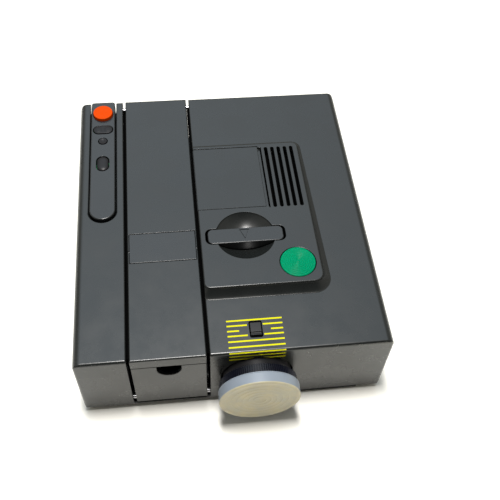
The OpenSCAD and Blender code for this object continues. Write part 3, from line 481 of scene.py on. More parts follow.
def milky(name, side, face):
    """Milky push-on cap with cloudy patches, a little darker towards the middle of its face; its cool side
    and cream face are painted light, cool overhead light on the side and warm floor bounce on the face.
    """
    s = Shader(name)
    offset = s.node("ShaderNodeVectorMath", operation="SUBTRACT")
    s.link(s.where, offset.inputs[0])
    offset.inputs[1].default_value = Vector((AXIS_X, 0, AXIS_Z)) * MM
    flat = s.node("ShaderNodeVectorMath", operation="MULTIPLY")
    s.link(offset.outputs[0], flat.inputs[0])
    flat.inputs[1].default_value = (1.0, 0.0, 1.0)
    length = s.node("ShaderNodeVectorMath", operation="LENGTH")
    s.link(flat.outputs[0], length.inputs[0])
    depth = s.node("ShaderNodeSeparateXYZ")
    s.link(s.where, depth.inputs[0])
    # Mask from the face to the side at the rim's crease; the cool side tone it brings in and the cream face
    # tone are painted light.
    out = s.span(depth.outputs["Y"], (CAP_LO.y + 0.9) * MM, (CAP_LO.y + 1.5) * MM, 0.0, 1.0)
    centre = s.span(length.outputs["Value"], 3 * MM, 14 * MM, 0.93, 1.0)
    cloud = s.noise(95.0, 4.0, 0.6)
    tone = s.mix(out, face, side)
    tone = s.mix(s.span(cloud, 0.35, 0.7, 0.0, 0.35), tone, scaled(side, 1.12))
    tone = s.mix(1.0, tone, s.mix(centre, rgb(0, 0, 0), rgb(1, 1, 1)), "MULTIPLY")
    scuff = s.noise(420.0, 5.0, 0.7, vector=s.stretched((1.0, 1.0, 3.0)))
    s.set(Base_Color=tone, Roughness=s.span(scuff, 0.35, 0.7, 0.3, 0.48), Subsurface_Weight=0.35,
          Subsurface_Radius=(0.004, 0.004, 0.005), Subsurface_Scale=1.0, IOR=1.46,
          Normal=s.bump(scuff, 0.12, 0.00006))
    return s.material


CHARCOAL = rgb(0.0085, 0.0098, 0.0098)
PAINTS = {
    "cover_plastic": plastic("cover_plastic", CHARCOAL, 0.28),
    "cover_plastic_light": plastic("cover_plastic_light", rgb(0.0105, 0.012, 0.013), 0.28),
    "black_plastic": plastic("black_plastic", rgb(0.008, 0.0078, 0.009), 0.36, Specular_IOR_Level=0.22),
    "green_button": plastic("green_button", rgb(0.0, 0.185, 0.085), 0.3, grain=0.08, wear=0.1,
                            Specular_IOR_Level=0.03, Subsurface_Weight=0.25,
                            Subsurface_Radius=(0.002, 0.004, 0.003), Subsurface_Scale=1.0),
    "orange_button": plastic("orange_button", rgb(0.5, 0.045, 0.0), 0.38, grain=0.12, wear=0.1,
                             mottle=0.03, Specular_IOR_Level=0.04),
    # The cap's cool side colour and cream face colour are painted light: cool overhead light and warm floor
    # bounce.
    "cap_plastic": milky("cap_plastic", rgb(0.19, 0.22, 0.26), rgb(0.42, 0.37, 0.23)),
    "white_nylon": plastic("white_nylon", rgb(0.74, 0.73, 0.68), 0.45, wear=0.1, mottle=0.04),
    "steel": metal("steel", rgb(0.55, 0.55, 0.57), 0.32, (0.15, 1.0, 1.0)),
    "mirror": metal("mirror", rgb(0.85, 0.85, 0.87), 0.12),
    "glass": glass("glass", rgb(0.92, 0.96, 0.98)),
    "filter_glass": glass("filter_glass", rgb(0.62, 0.86, 0.76)),
    "ceramic": plastic("ceramic", rgb(0.8, 0.77, 0.7), 0.5, grain=0.5, wear=0.0, mottle=0.06),
    "laminated_iron": laminated("laminated_iron", rgb(0.09, 0.085, 0.08)),
    "copper": wound("copper", rgb(0.6, 0.25, 0.1)),
    "board": board("board", rgb(0.012, 0.12, 0.04)),
    "cell_wrap": plastic("cell_wrap", rgb(0.05, 0.1, 0.26), 0.25, grain=0.05, wear=0.3),
    "rubber": plastic("rubber", rgb(0.008, 0.008, 0.008), 0.7, grain=0.6, wear=0.15),
}
YELLOW = plastic("stripe_paint", rgb(0.5, 0.48, 0.003), 0.5, grain=0.3, wear=0.05, mottle=0.05,
                 Specular_IOR_Level=0.05)
# Sheen-less near-black, painted shade: it stands in for the darkness inside the vents and slots and round the
# rocker.
SHADE_BLACK = plastic("shade_black", rgb(0.002, 0.002, 0.002), 0.9, grain=0.5, wear=0.0, Specular_IOR_Level=0.0)
GRIP = plastic("grip_black", rgb(0.003, 0.0036, 0.007), 0.3, wear=0.1, Specular_IOR_Level=0.26)

NODE_SLOT = {s["node"]: s["material_slot"] for s in frame["record"]["subparts"]}
for node_name, node_object in frame["nodes"].items():
    node_object.data.materials.clear()
    node_object.data.materials.append(PAINTS[NODE_SLOT[node_name]])


def settle(obj, body, paint_slot, *nodes, paint=None, smooth=30):
    """Gives a finished piece its size in metres, its material, its body and the CAD nodes it stands for."""
    obj.data.transform(Matrix.Scale(MM, 4))
    obj.data.materials.clear()
    obj.data.materials.append(paint or PAINTS[paint_slot])
    shade(obj, smooth)
    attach(obj, body)
    if nodes:
        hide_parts(*nodes)
    return obj


# ---- Left housing -----------------------------------------------------------------

TROUGH_X = (REMOTE_LO.x + REMOTE_HI.x) / 2       # the trough that the remote lies in
TROUGH_R = (REMOTE_HI.x - REMOTE_LO.x) / 2 + 1.2
TROUGH_Y = REMOTE_LO.y - 1.9
TROUGH_Z = CASE_LO.z - 0.4
POST_R = 4.0         # screw posts under the covers
EDGE_R = 2.5         # radius of the covers' front top edge
LEFT_POSTS = [(-113, MID - 145), (-113, MID + 145)]
RIGHT_POSTS = [(126, MID - 145), (126, MID + 145), (-13, MID + 145)]
GATE_Y = MID - 56.0  # the slide gate
GATE_Z = 66.0
TRAY_TOP = TRAY_LO.z + 3.0
ARM_TOP = TRAY_TOP + 5.0


def remote_channel(grow, z0, z1):
    r = TROUGH_R + grow
    outline = rounded(TROUGH_X - r, TROUGH_Y - grow, TROUGH_X + r, Y_REAR + 5, [r, r, 0, 0], 12)
    return slab("channel", outline, [(0, z0), (0, z1)])


def posts(places, z1):
    return [rod("post", "z", p, POST_R, Z_COVER - 2, z1, 24) for p in places]


def wall_openings(x0, x1, gate_top):
    """Where the slide changer's arm and blade pass through a channel wall."""
    return [block("arm_way", (x0, GATE_Y - 6, Z_COVER - 2), (x1, GATE_Y + 8, ARM_TOP)),
            block("blade_way", (x0, GATE_Y - 2.2, Z_COVER - 2), (x1, GATE_Y + 2.2, gate_top))]


left = chest("left_shell", LEFT_LO, LEFT_HI,
             {(-1, 0, 1): 7.0, (0, -1, 1): EDGE_R, (0, 1, 1): 3.5, (1, 0, 1): 1.2, (-1, -1, 0): 2.5,
              (-1, 1, 0): 5.0, (1, -1, 0): 0.8, (1, 1, 0): 0.8})
inside = chest("inside", (LEFT_LO.x + WALL, Y_FRONT + WALL, Z_COVER - 1),
               (SLOT1_X - WALL, Y_REAR - WALL, Z_TOP - WALL),
               {(-1, 0, 1): 4.6, (0, -1, 1): 1.1, (0, 1, 1): 1.1, (-1, 1, 0): 2.6})
cut(inside, remote_channel(WALL, TROUGH_Z - WALL, Z_TOP + 5), *posts(LEFT_POSTS, Z_TOP + 1))
cut(left, inside, remote_channel(0, TROUGH_Z, Z_TOP + 2), *wall_openings(SLOT1_X - 5, SLOT1_X + 1, GATE_Z),
    block("gear_way", (SLOT1_X - 5, GEAR_LO.y + 0.2, GEAR_LO.z - 1),
          (SLOT1_X + 1, GEAR_HI.y - 0.2, GEAR_HI.z + 1)))
tidy_faces(left)


def trough_rim(p):
    """On the upper edge of the trough."""
    return p.z > Z_TOP - 0.02 and abs(p.x - TROUGH_X) < TROUGH_R + 0.1 and p.y > TROUGH_Y - 0.1


soften(left, 1.3, 4, trough_rim)
soften(left, 0.35, 2)
settle(left, "root", "cover_plastic", "left_cover")

# ---- Right housing with its raised deck --------------------------------------------

DECK_EDGE = 1.3      # radius of the deck's upper edge
DECK_LIP = 0.35      # height of the small step where the cove meets the cover
COVE = 0.875         # width of the cove for each millimetre of the deck's rise


def deck_solid():
    outline = rounded(SLOT2_X, DECK_Y0, DECK_X1, DECK_Y1, [5.5, 9.0, 6.0, 1.5], 8)
    rings = []

    def ring(offset, height):
        points = []
        for x, y, nx, ny in outline:
            rise = deck_z(y) - Z_TOP
            e = offset(rise)
            px, py = x + nx * e, y + ny * e
            points.append((max(px, SLOT2_X + 0.02), py, height(rise, py)))
        rings.append(points)

    for inset, drop in reversed(round_over(DECK_EDGE, 5)):
        ring(lambda rise, i=inset: -i, lambda rise, y, d=drop: deck_z(y) - d)
    for k in range(1, 11):
        share = k / 10
        ring(lambda rise, s=share: COVE * rise * s ** 1.15,
             lambda rise, y, s=share: Z_TOP + DECK_LIP + (rise - DECK_EDGE - DECK_LIP) * (1 - s) ** 1.2)
    ring(lambda rise: COVE * rise + 0.3, lambda rise, y: Z_TOP + DECK_LIP * 0.75)
    ring(lambda rise: COVE * rise + 0.45, lambda rise, y: Z_TOP + 0.05)
    ring(lambda rise: COVE * rise + 0.45, lambda rise, y: Z_TOP - 1.5)
    return loft("deck", rings)


BOWL_X, BOWL_Y, BOWL_R = AXIS_X + 0.7, MID - 36.5, 27.0
BOWL_DEPTH, BOWL_LIP = 12.5, 1.6
BOWL_TOP = deck_z(BOWL_Y)


def bowl_cutter():
    """Short cylinder with a spherical dish below it."""
    dish = BOWL_DEPTH - BOWL_LIP
    sphere = (BOWL_R ** 2 + dish ** 2) / (2 * dish)
    reach = math.asin(BOWL_R / sphere)
    low = BOWL_TOP - BOWL_DEPTH
    angles = [reach * k / 14 for k in range(15)]
    profile = [(sphere * math.sin(a), low + sphere * (1 - math.cos(a))) for a in angles]
    return lathe("bowl", (BOWL_X, BOWL_Y), "z", profile + [(BOWL_R, BOWL_TOP + 5), (0, BOWL_TOP + 5)])


VENT_X0, VENT_PITCH, VENT_R, VENTS = 45.0, 6.4, 1.7, 6      # the first vent is open to the lamp cover
VENT_Y0, VENT_Y1 = MID - 5.4, MID + 74.3
BUTTON_X, BUTTON_Y = (BUTTON_LO.x + BUTTON_HI.x) / 2, (BUTTON_LO.y + BUTTON_HI.y) / 2
BUTTON_R = (BUTTON_HI.x - BUTTON_LO.x) / 2
LAMP_T = 2.4         # thickness of the lamp cover
LENS_WAY_R = 31.5

right = chest("right_shell", RIGHT_LO, (RIGHT_HI.x, RIGHT_HI.y, Z_TOP),
              {(1, 0, 1): 7.0, (0, -1, 1): EDGE_R, (0, 1, 1): 3.5, (-1, 0, 1): 1.2, (1, -1, 0): 2.5,
               (1, 1, 0): 5.0, (-1, -1, 0): 0.8, (-1, 1, 0): 0.8})
add(right, deck_solid())
inside = chest("inside", (SLOT2_X + WALL, Y_FRONT + WALL, Z_COVER - 1),
               (RIGHT_HI.x - WALL, Y_REAR - WALL, Z_TOP - WALL),
               {(1, 0, 1): 4.6, (0, -1, 1): 1.1, (0, 1, 1): 1.1, (1, 1, 0): 2.6})
cut(inside, rod("bowl_floor", "z", (BOWL_X, BOWL_Y), BOWL_R + WALL, Z_TOP - 8.5, Z_TOP + 5),
    rod("sleeve", "z", (BUTTON_X, BUTTON_Y), BUTTON_R + 2.5, Z_TOP - 4, Z_TOP + 5),
    *posts(RIGHT_POSTS, Z_TOP + 1))
cut(right, inside, bowl_cutter())
pocket = rounded(BAR_LO.x - 2.2, BAR_LO.y - 0.6, BAR_HI.x + 2.2, BAR_HI.y + 0.6, 6.0)
step = [(y, deck_z(y) - LAMP_T - 0.1) for y in (LAMP_LO.y - 0.35, LAMP_HI.y + 0.7)]
step += [(p[0], Z_TOP + 12) for p in reversed(step)]
groove = [(max(p[0], VENT_Y0) if k in (0, 3) else min(p[0], VENT_Y1), p[1]) for k, p in enumerate(step)]
cut(right, slab("pocket", pocket, [(0, Z_TOP - 20), (0, Z_TOP + 12)]),
    prism("step", step, "x", SLOT2_X - 1, LAMP_HI.x + 0.35),
    prism("groove", groove, "x", LAMP_HI.x, VENT_X0 + VENT_R),
    block("lamp_way", (SLOT2_X + WALL + 2, LAMP_LO.y + 2, Z_TOP - 8),
          (LAMP_HI.x - 2, LAMP_HI.y - 2, Z_TOP + 12)),
    block("groove_way", (VENT_X0 + 0.7, VENT_Y0, Z_TOP - 8), (VENT_X0 + VENT_R, VENT_Y1, Z_TOP + 12)))
for i in range(1, VENTS):
    x = VENT_X0 + i * VENT_PITCH
    outline = rounded(x - VENT_R, VENT_Y0, x + VENT_R, VENT_Y1, VENT_R, 5)
    cut(right, slab("vent", outline, [(0, Z_TOP - 8), (0, Z_TOP + 12)]))
cut(right, rod("bore", "z", (BUTTON_X, BUTTON_Y), BUTTON_R + 0.7, Z_TOP - 5, Z_TOP + 12),
    block("rocker_way", (BEZEL_LO.x + 0.6, BEZEL_LO.y + 0.6, Z_TOP - 6),
          (BEZEL_HI.x - 0.6, BEZEL_HI.y - 0.6, Z_TOP + 1)),
    rod("lens_way", "y", (AXIS_X, AXIS_Z), LENS_WAY_R, Y_FRONT - 1, Y_FRONT + 6, 96),
    block("panel_way", (PANEL_LO.x - 0.35, Y_REAR - WALL - 1, PANEL_LO.z - 0.35),
          (PANEL_HI.x + 0.35, Y_REAR + 1, PANEL_HI.z + 0.35)),
    *wall_openings(SLOT2_X - 1, SLOT2_X + 5, AXIS_Z + 27))
tidy_faces(right)


def off_the_cove(p):
    """Not the foot of the deck's cove, whose own step is already modelled."""
    return not (abs(p.z - Z_TOP) < 0.6 and p.y > DECK_Y0 - 10 and p.x < DECK_X1 + 9)


def bowl_rim(p):
    return p.z > BOWL_TOP - 1 and abs(math.hypot(p.x - BOWL_X, p.y - BOWL_Y) - BOWL_R) < 0.2


soften(right, 0.7, 3, bowl_rim)
soften(right, 0.3, 2, off_the_cove)
settle(right, "root", "cover_plastic", "right_cover")

# Sheen-less black sheet low under the vents, a dark sheet where there is only shade: painted shade that keeps
# the vent slots dark.
vent_shade_sheet = block("vent_shade_sheet", (VENT_X0 - 1.0, VENT_Y0 - 2, Z_TOP - 8.8),
               (VENT_X0 + 34.5, VENT_Y1 + 2, Z_TOP - 8.2))
settle(soften(vent_shade_sheet, 0.15, 1), "root", "rubber", paint=SHADE_BLACK)

# Sheen-less black strips down inside both channel slots, where there is only shade: painted shade.
slot_shade_strips = add(*[block("slot_shade_strips", (x, Y_FRONT + 8, Z_TOP - 14), (x + 2.4, Y_REAR - 1.5, Z_TOP - 10))
              for x in (SLOT1_X - 0.3, SLOT2_X - 2.1)])
settle(soften(slot_shade_strips, 0.3, 2), "root", "rubber", paint=SHADE_BLACK)

# ---- Lid, hatch and front door -------------------------------------------------------

PIN_R, PIN_REACH = 2.0, 6.0
LID_PIN = (Y_REAR - 6, Z_TOP - 7)
DOOR_PIN = (Y_FRONT + 4.4, TRAY_TOP + 4.0)
HATCH_T = 2.4
HATCH_X0, HATCH_X1 = HATCH_LO.x + 0.9, HATCH_HI.x - 0.9
HATCH_PIVOT = (MID - 42.7, Z_TOP - 1.6)
TRUNNION_R = 0.8
LID_SIDE = 1.8       # thickness of the lid's side walls

lid = chest("lid_shell", (LID_LO.x, Y_FRONT, Z_TOP - 20), (LID_HI.x, Y_REAR, Z_TOP),
            {(0, -1, 1): 1.6, (0, 1, 1): 3.5, (-1, 0, 1): 1.2, (1, 0, 1): 1.2, (-1, -1, 0): 0.8,
             (1, -1, 0): 0.8})
rear_cut = [(LID_PIN[0], Z_TOP - 30), (Y_REAR + 20, Z_TOP - 30), (Y_REAR + 20, LID_PIN[1]), LID_PIN]
rear_way = cut(prism("rear_way", rear_cut, "x", LID_LO.x - 1, LID_HI.x + 1),
               rod("knuckle", "x", LID_PIN, 6.0, LID_LO.x - 2, LID_HI.x + 2))
cut(lid, block("inside", (LID_LO.x + LID_SIDE, Y_FRONT + WALL, Z_TOP - 30),
               (LID_HI.x - LID_SIDE, Y_REAR + 5, Z_TOP - WALL)),
    block("front_way", (LID_LO.x - 1, Y_FRONT - 1, Z_TOP - 30), (LID_HI.x + 1, Y_FRONT + 8, DOOR_HI.z + 0.6)),
    rear_way)
for x in (LID_LO.x + 0.05, LID_HI.x - PIN_REACH - 0.05):
    add(lid, rod("boss", "x", LID_PIN, 4.5, x, x + PIN_REACH, 32))
cut(lid, block("hatch_way", (HATCH_X0 - 0.4, HATCH_LO.y - 0.6, Z_TOP - 6),
               (HATCH_X1 + 0.4, HATCH_HI.y + 0.6, Z_TOP + 1)))
for x in (LID_LO.x, LID_HI.x - PIN_REACH):
    cut(lid, rod("pin_way", "x", LID_PIN, PIN_R + 0.1, x - 1, x + PIN_REACH + 1, 32))
for x in (HATCH_X0, HATCH_X1):
    cut(lid, rod("seat", "x", HATCH_PIVOT, TRUNNION_R + 0.1, x - 1.1, x + 1.1, 16),
        block("notch", (x - 1.1, HATCH_PIVOT[0] - 0.9, HATCH_PIVOT[1]),
              (x + 1.1, HATCH_PIVOT[0] + 0.9, Z_TOP + 1)))
soften(lid, 0.2, 2, lambda p: abs(p.y - HATCH_PIVOT[0]) > 1.5)
settle(lid, "lid", "cover_plastic", "channel_lid")

hatch = block("hatch", (HATCH_X0, HATCH_LO.y, Z_TOP - HATCH_T), (HATCH_X1, HATCH_HI.y, Z_TOP))
soften(hatch, 0.45, 3)
for x in (HATCH_LO.x, HATCH_X1 - 2):
    add(hatch, rod("trunnion", "x", HATCH_PIVOT, TRUNNION_R - 0.03, x, x + HATCH_X0 - HATCH_LO.x + 2, 16))
settle(hatch, "hatch", "cover_plastic_light", "hatch_flap")

NOTCH_R, NOTCH_DEPTH, NOTCH_LIP = 10.4, 16.0, 0.8
DOOR_T, DOOR_EDGE = 3.0, 0.6
KNUCKLE = 7.0        # length of a door knuckle


def arc(cx, cz, r, start, sweep, steps, outwards=1):
    """Points of an arc as (x, z, normal x, normal z); outwards is -1 where the solid is outside it."""
    points = []
    for k in range(steps + 1):
        a = math.radians(start + sweep * k / steps)
        nx, nz = math.cos(a), math.sin(a)
        points.append((cx + r * nx, cz + r * nz, outwards * nx, outwards * nz))
    return points


def door_outline():
    """Door seen from the front, with the finger notch cut down from its top edge."""
    x0, x1, z0, z1 = DOOR_LO.x, DOOR_HI.x, DOOR_LO.z, DOOR_HI.z
    middle_x, notch_z = (x0 + x1) / 2, z1 - NOTCH_DEPTH + NOTCH_R
    left_x, right_x, lip = middle_x - NOTCH_R, middle_x + NOTCH_R, NOTCH_LIP
    points = arc(x0 + 1, z0 + 1, 1, 180, 90, 4) + arc(x1 - 1, z0 + 1, 1, 270, 90, 4)
    points += arc(x1 - lip, z1 - lip, lip, 0, 90, 4) + arc(right_x + lip, z1 - lip, lip, 90, 90, 4)
    points += arc(middle_x, notch_z, NOTCH_R, 0, -180, 24, -1)
    return points + arc(left_x - lip, z1 - lip, lip, 0, 90, 4) + arc(x0 + lip, z1 - lip, lip, 90, 90, 4)


levels = [(0, -Y_FRONT - DOOR_T)] + [(-i, -Y_FRONT - d) for i, d in round_over(DOOR_EDGE, 4)]
door = slab("door_plate", door_outline(), levels)
door.data.transform(Matrix.Rotation(math.pi / 2, 4, "X"))
for x in (DOOR_LO.x, DOOR_HI.x - KNUCKLE):
    add(door, rod("knuckle", "x", DOOR_PIN, 3.1, x + 0.02, x + KNUCKLE - 0.02, 32))
for x in (DOOR_LO.x, DOOR_HI.x - KNUCKLE):
    cut(door, rod("pin_way", "x", DOOR_PIN, PIN_R + 0.1, x - 1, x + KNUCKLE + 1, 32))
settle(tidy_faces(door), "door", "cover_plastic", "front_door")

# ---- Lamp cover and condenser module's grip bar ---------------------------------------

outline = rounded(LAMP_LO.x, LAMP_LO.y, LAMP_HI.x, LAMP_HI.y, 0.6, 3)
levels = [(0, on_deck(-LAMP_T)), (0, on_deck(-0.5))] + [(-i, on_deck(-d)) for i, d in round_over(0.5, 3)[1:]]
lamp_cover = slab("lamp_lid", outline, levels)
rim = block("rim", (SLOT2_X + WALL + 2.4, LAMP_LO.y + 2.4, Z_TOP - 3),
            (LAMP_HI.x - 2.4, LAMP_HI.y - 2.4, Z_TOP + 0.8))
add(lamp_cover, cut(rim, block("hollow", (SLOT2_X + WALL + 4.4, LAMP_LO.y + 4.4, Z_TOP - 4),
                               (LAMP_HI.x - 4.4, LAMP_HI.y - 4.4, Z_TOP + 0.5))))
settle(tidy_faces(lamp_cover), "lamp_lid", "cover_plastic", "lamp_cover")

outline = rounded(BAR_LO.x, BAR_LO.y, BAR_HI.x, BAR_HI.y, 5.0, 8)
levels = [(0, BAR_LO.z), (0, on_deck(-1.0))] + [(-i, on_deck(-d)) for i, d in round_over(1.0, 4)[1:]]
bar = slab("grip_bar_body", outline, levels)
ARROW = [(14.7, MID - 30.5), (23.0, MID - 30.5), (19.0, MID - 41.3)]
STROKE, ENGRAVED = 0.42, 0.8         # half width and depth of the engraved line
for k in range(3):
    a, b = Vector(ARROW[k]), Vector(ARROW[(k + 1) % 3])
    along = (b - a).normalized()
    side = Vector((-along.y, along.x)) * STROKE
    a, b = a - along * STROKE, b + along * STROKE
    corners = [tuple(p) for p in (a - side, b - side, b + side, a + side)]
    cut(bar, prism("line", corners, "z", BOWL_TOP - ENGRAVED, BOWL_TOP + 3))
settle(bar, "condenser_module", "cover_plastic_light", "grip_bar")

# ---- Power button and focus rocker ------------------------------------------------------

DOME, BUTTON_RINGS = 90.0, (1.8, 3.5, 5.2, 6.9, 8.6, 10.3, 12.0, 13.7)
STEM_R, HEAD_T = 3.0, 5.6
profile = [(0, BUTTON_LO.z), (STEM_R, BUTTON_LO.z), (STEM_R, BUTTON_HI.z - HEAD_T),
           (BUTTON_R, BUTTON_HI.z - HEAD_T)]
face = [(0.0, 0.0)]
for r in BUTTON_RINGS:
    face += [(r - 0.5, 0), (r - 0.15, -0.3), (r + 0.15, -0.3), (r + 0.5, 0)]
face += [(BUTTON_R - 0.8, 0), (BUTTON_R - 0.25, -0.22), (BUTTON_R, -0.8)]
profile += [(r, BUTTON_HI.z - r * r / (2 * DOME) + dz) for r, dz in reversed(face)]
button = lathe("button", (BUTTON_X, BUTTON_Y), "z", profile)
settle(button, "power_key", "green_button", "power_button", smooth=50)

BEZEL_W = 1.1
outer = rounded(BEZEL_LO.x, BEZEL_LO.y, BEZEL_HI.x, BEZEL_HI.y, 1.7)
inner = rounded(BEZEL_LO.x + BEZEL_W, BEZEL_LO.y + BEZEL_W, BEZEL_HI.x - BEZEL_W, BEZEL_HI.y - BEZEL_W, 0.8)
levels = [(-0.3, -1), (0, -1), (0, 0.3), (-0.1, 0.5), (-0.35, 0.6)]
bezel = slab("bezel", outer, [(offset, Z_TOP + lift) for offset, lift in levels])
cut(bezel, slab("hole", inner, [(0, Z_TOP - 3), (0, Z_TOP + 2)]))
# The bezel's own black plastic, given the sheen-less black that also paints shade: partly its own colour,
# partly painted shade round the rocker.
settle(bezel, "root", "black_plastic", "rocker_bezel", paint=SHADE_BLACK)

ROCKER_Y = (ROCKER_LO.y + ROCKER_HI.y) / 2
# Side view from the rocker's middle and the covers' top, with the groove near its front.
SIDE_VIEW = [(-6.1, 0.9), (-5.4, -3), (0, -5), (5.4, -3), (6.1, 0.9), (5.6, 1.0),
             (-2.7, 0.75), (-2.9, -0.6), (-4.3, -0.6), (-4.5, 0.8), (-5.7, 1.0)]
rocker = prism("rocker", [(ROCKER_Y + y, Z_TOP + z) for y, z in SIDE_VIEW], "x", ROCKER_LO.x, ROCKER_HI.x)
settle(soften(rocker, 0.25, 2), "focus_switch", "black_plastic", "focus_rocker")

# ---- Zoom ring and lens cap ---------------------------------------------------------------

RIBS, RIB_DEPTH = 110, 1.0
GRIP_R, GRIP_Y1 = RING_R + 0.8, RING_HI.y + 0.7      # the photo shows ring and cap a little wider
CAP_OUT, RIM = CAP_R + 0.7, 1.2


def ribbed(y, r):
    points = []
    for k in range(RIBS):
        for share, depth in ((0.0, RIB_DEPTH), (0.2, 0.0), (0.55, 0.0), (0.75, RIB_DEPTH)):
            a = math.tau * (k + share) / RIBS
            points.append((AXIS_X + (r - depth) * math.cos(a), y, AXIS_Z + (r - depth) * math.sin(a)))
    return points


ring = loft("zoom_grip", [ribbed(RING_LO.y, GRIP_R - 0.6), ribbed(RING_LO.y + 0.6, GRIP_R),
                          ribbed(GRIP_Y1 - 0.6, GRIP_R), ribbed(GRIP_Y1, GRIP_R - 0.8)])
cut(ring, rod("hole", "y", (AXIS_X, AXIS_Z), 30.1, RING_LO.y - 1, GRIP_Y1 + 1, 96))
settle(ring, "zoom", "black_plastic", "zoom_ring", paint=GRIP)

CAP_RINGS = (5.5, 10.0, 15.0, 20.0, 25.0)
f = CAP_LO.y
profile = [(0, f + 0.9)]
for r in CAP_RINGS:
    profile += [(r - 0.6, f + 0.9), (r, f + 0.62), (r + 0.6, f + 0.9)]
profile += [(29.5, f + 0.85), (31.0, f + 0.25), (32.3, f)]
profile += [(CAP_OUT - RIM + RIM * math.sin(a), f + RIM * (1 - math.cos(a))) for a in quarter(7)]
profile += [(CAP_OUT, CAP_HI.y - 1.4), (CAP_OUT - 0.2, CAP_HI.y - 1.1), (CAP_OUT + 0.1, CAP_HI.y - 0.8),
            (CAP_OUT + 0.1, CAP_HI.y - 0.3), (CAP_OUT - 0.2, CAP_HI.y), (GRIP_R + 0.1, CAP_HI.y),
            (GRIP_R + 0.1, f + 2.6), (GRIP_R - 0.6, f + 2.0), (0, f + 2.0)]
cap = lathe("cap", (AXIS_X, AXIS_Z), "y", profile)
settle(cap, "cap", "cap_plastic", "lens_cap", smooth=40)

# ---- Remote control -----------------------------------------------------------------------

outline = rounded(REMOTE_LO.x, REMOTE_LO.y, REMOTE_HI.x, REMOTE_HI.y, [11.9, 11.9, 2.5, 2.5], 12)
levels = [(0, REMOTE_LO.z), (0, REMOTE_HI.z - 1.2)]
levels += [(-i, REMOTE_HI.z - d) for i, d in round_over(1.2, 4)[1:]]
remote = slab("remote_case", outline, levels)
hollow = rounded(REMOTE_LO.x + 2, REMOTE_LO.y + 2, REMOTE_HI.x - 2, REMOTE_HI.y - 2, [9.9, 9.9, 1, 1], 12)


def middle(lo, hi):
    return (lo.x + hi.x) / 2, (lo.y + hi.y) / 2


def key_outline(lo, hi, grow=0.0):
    """Plan of a round or oval key."""
    r = min(hi.x - lo.x, hi.y - lo.y) / 2 + grow - 0.01
    return rounded(lo.x - grow, lo.y - grow, hi.x + grow, hi.y + grow, r, 12)


cut(remote, slab("hollow", hollow, [(0, REMOTE_LO.z - 1), (0, REMOTE_HI.z - 2)]))
for lo, hi in ((FORWARD_LO, FORWARD_HI), (FOCUS_LO, FOCUS_HI), (TIMER_LO, TIMER_HI), (SELECT_LO, SELECT_HI)):
    cut(remote, slab("key_way", key_outline(lo, hi, 0.55), [(0, REMOTE_LO.z + 1), (0, REMOTE_HI.z + 3)]))
cut(remote, block("window", (TROUGH_X - 7, REMOTE_HI.y - 1, REMOTE_LO.z + 1),
                  (TROUGH_X + 7, REMOTE_HI.y + 1, REMOTE_LO.z + 6)))
tidy_faces(remote)
soften(remote, 0.25, 2)
settle(remote, "remote", "cover_plastic_light", "remote_top")

KEY_GAP = 0.25       # how far each dark key's side stands in from its node's
r = (FORWARD_HI.x - FORWARD_LO.x) / 2
z = FORWARD_HI.z
key = lathe("forward_cap", middle(FORWARD_LO, FORWARD_HI), "z",
            [(0, FORWARD_LO.z), (r, FORWARD_LO.z), (r, z - 0.7), (r - 0.2, z - 0.2), (r - 0.7, z),
             (r - 2.2, z - 0.15), (0, z - 0.3)])
settle(key, "forward_key", "orange_button", "forward_button")

outline = key_outline(FOCUS_LO, FOCUS_HI, -KEY_GAP)
z = FOCUS_HI.z
key = slab("focus_pad", outline, [(0, FOCUS_LO.z), (0, z - 0.7), (-0.25, z - 0.3), (-0.8, z - 0.1),
                                  (-2.0, z - 0.05)])
cx, cy = middle(FOCUS_LO, FOCUS_HI)
DOME_R = 3.9
dome = [(DOME_R * math.sin(a), z - 0.35 + 0.75 * math.cos(a)) for a in quarter(6)]
for side in (-1, 1):
    add(key, lathe("dome", (cx + side * 4.6, cy), "z", dome + [(DOME_R, z - 1.5), (0, z - 1.5)], 32))
settle(key, "focus_key", "black_plastic", "remote_rocker")

r = (TIMER_HI.x - TIMER_LO.x) / 2 - KEY_GAP
z = TIMER_HI.z
key = lathe("timer_cap", middle(TIMER_LO, TIMER_HI), "z",
            [(0, TIMER_LO.z), (r, TIMER_LO.z), (r, z - 0.5), (r - 0.25, z - 0.1), (r - 0.7, z),
             (r - 1.3, z - 0.1), (r - 2.2, z - 0.5), (0, z - 0.75)])
settle(key, "timer_key", "black_plastic", "timer_button")

outline = key_outline(SELECT_LO, SELECT_HI, -KEY_GAP)
z = SELECT_HI.z
CROWN, CROWN_IN = 2.0, 5.4           # height and inset of the long key's crowned top
levels = [(0, SELECT_LO.z), (0, z - CROWN)]
levels += [(-CROWN_IN * (1 - math.cos(a)), z - CROWN + CROWN * math.sin(a)) for a in quarter(8)[1:]]
key = slab("select_pad", outline, levels)
settle(key, "select_key", "black_plastic", "select_button")

# ---- Yellow lines round the rocker --------------------------------------------------------

LINE_X0, LINE_X1, LINE_T = -6.0, 41.8, 1.5
LINE_RISE, LINE_SUNK = 0.06, 0.3     # above and below the cover's surface
TOP_LINES = [(-122.7, ((LINE_X0, LINE_X1),)), (-127.6, ((LINE_X0, 11.3), (24.9, LINE_X1))),
             (-132.6, ((LINE_X0, 4.2), (31.4, LINE_X1))), (-137.4, ((LINE_X0, 11.1), (25.1, LINE_X1))),
             (-142.7, ((LINE_X0, LINE_X1),)), (-148.1, ((LINE_X0, LINE_X1),))]
FRONT_LINES = [82.0, 76.6]
HALF = LINE_T / 2

strips = []
for y, runs in TOP_LINES:
    for x0, x1 in runs:
        strips.append(block("lines", (x0, MID + y - HALF, Z_TOP - LINE_SUNK),
                            (x1, MID + y + HALF, Z_TOP + LINE_RISE)))
for z in FRONT_LINES:
    strips.append(block("lines", (LINE_X0, Y_FRONT - LINE_RISE, z - HALF),
                        (LINE_X1, Y_FRONT + LINE_SUNK, z + HALF)))
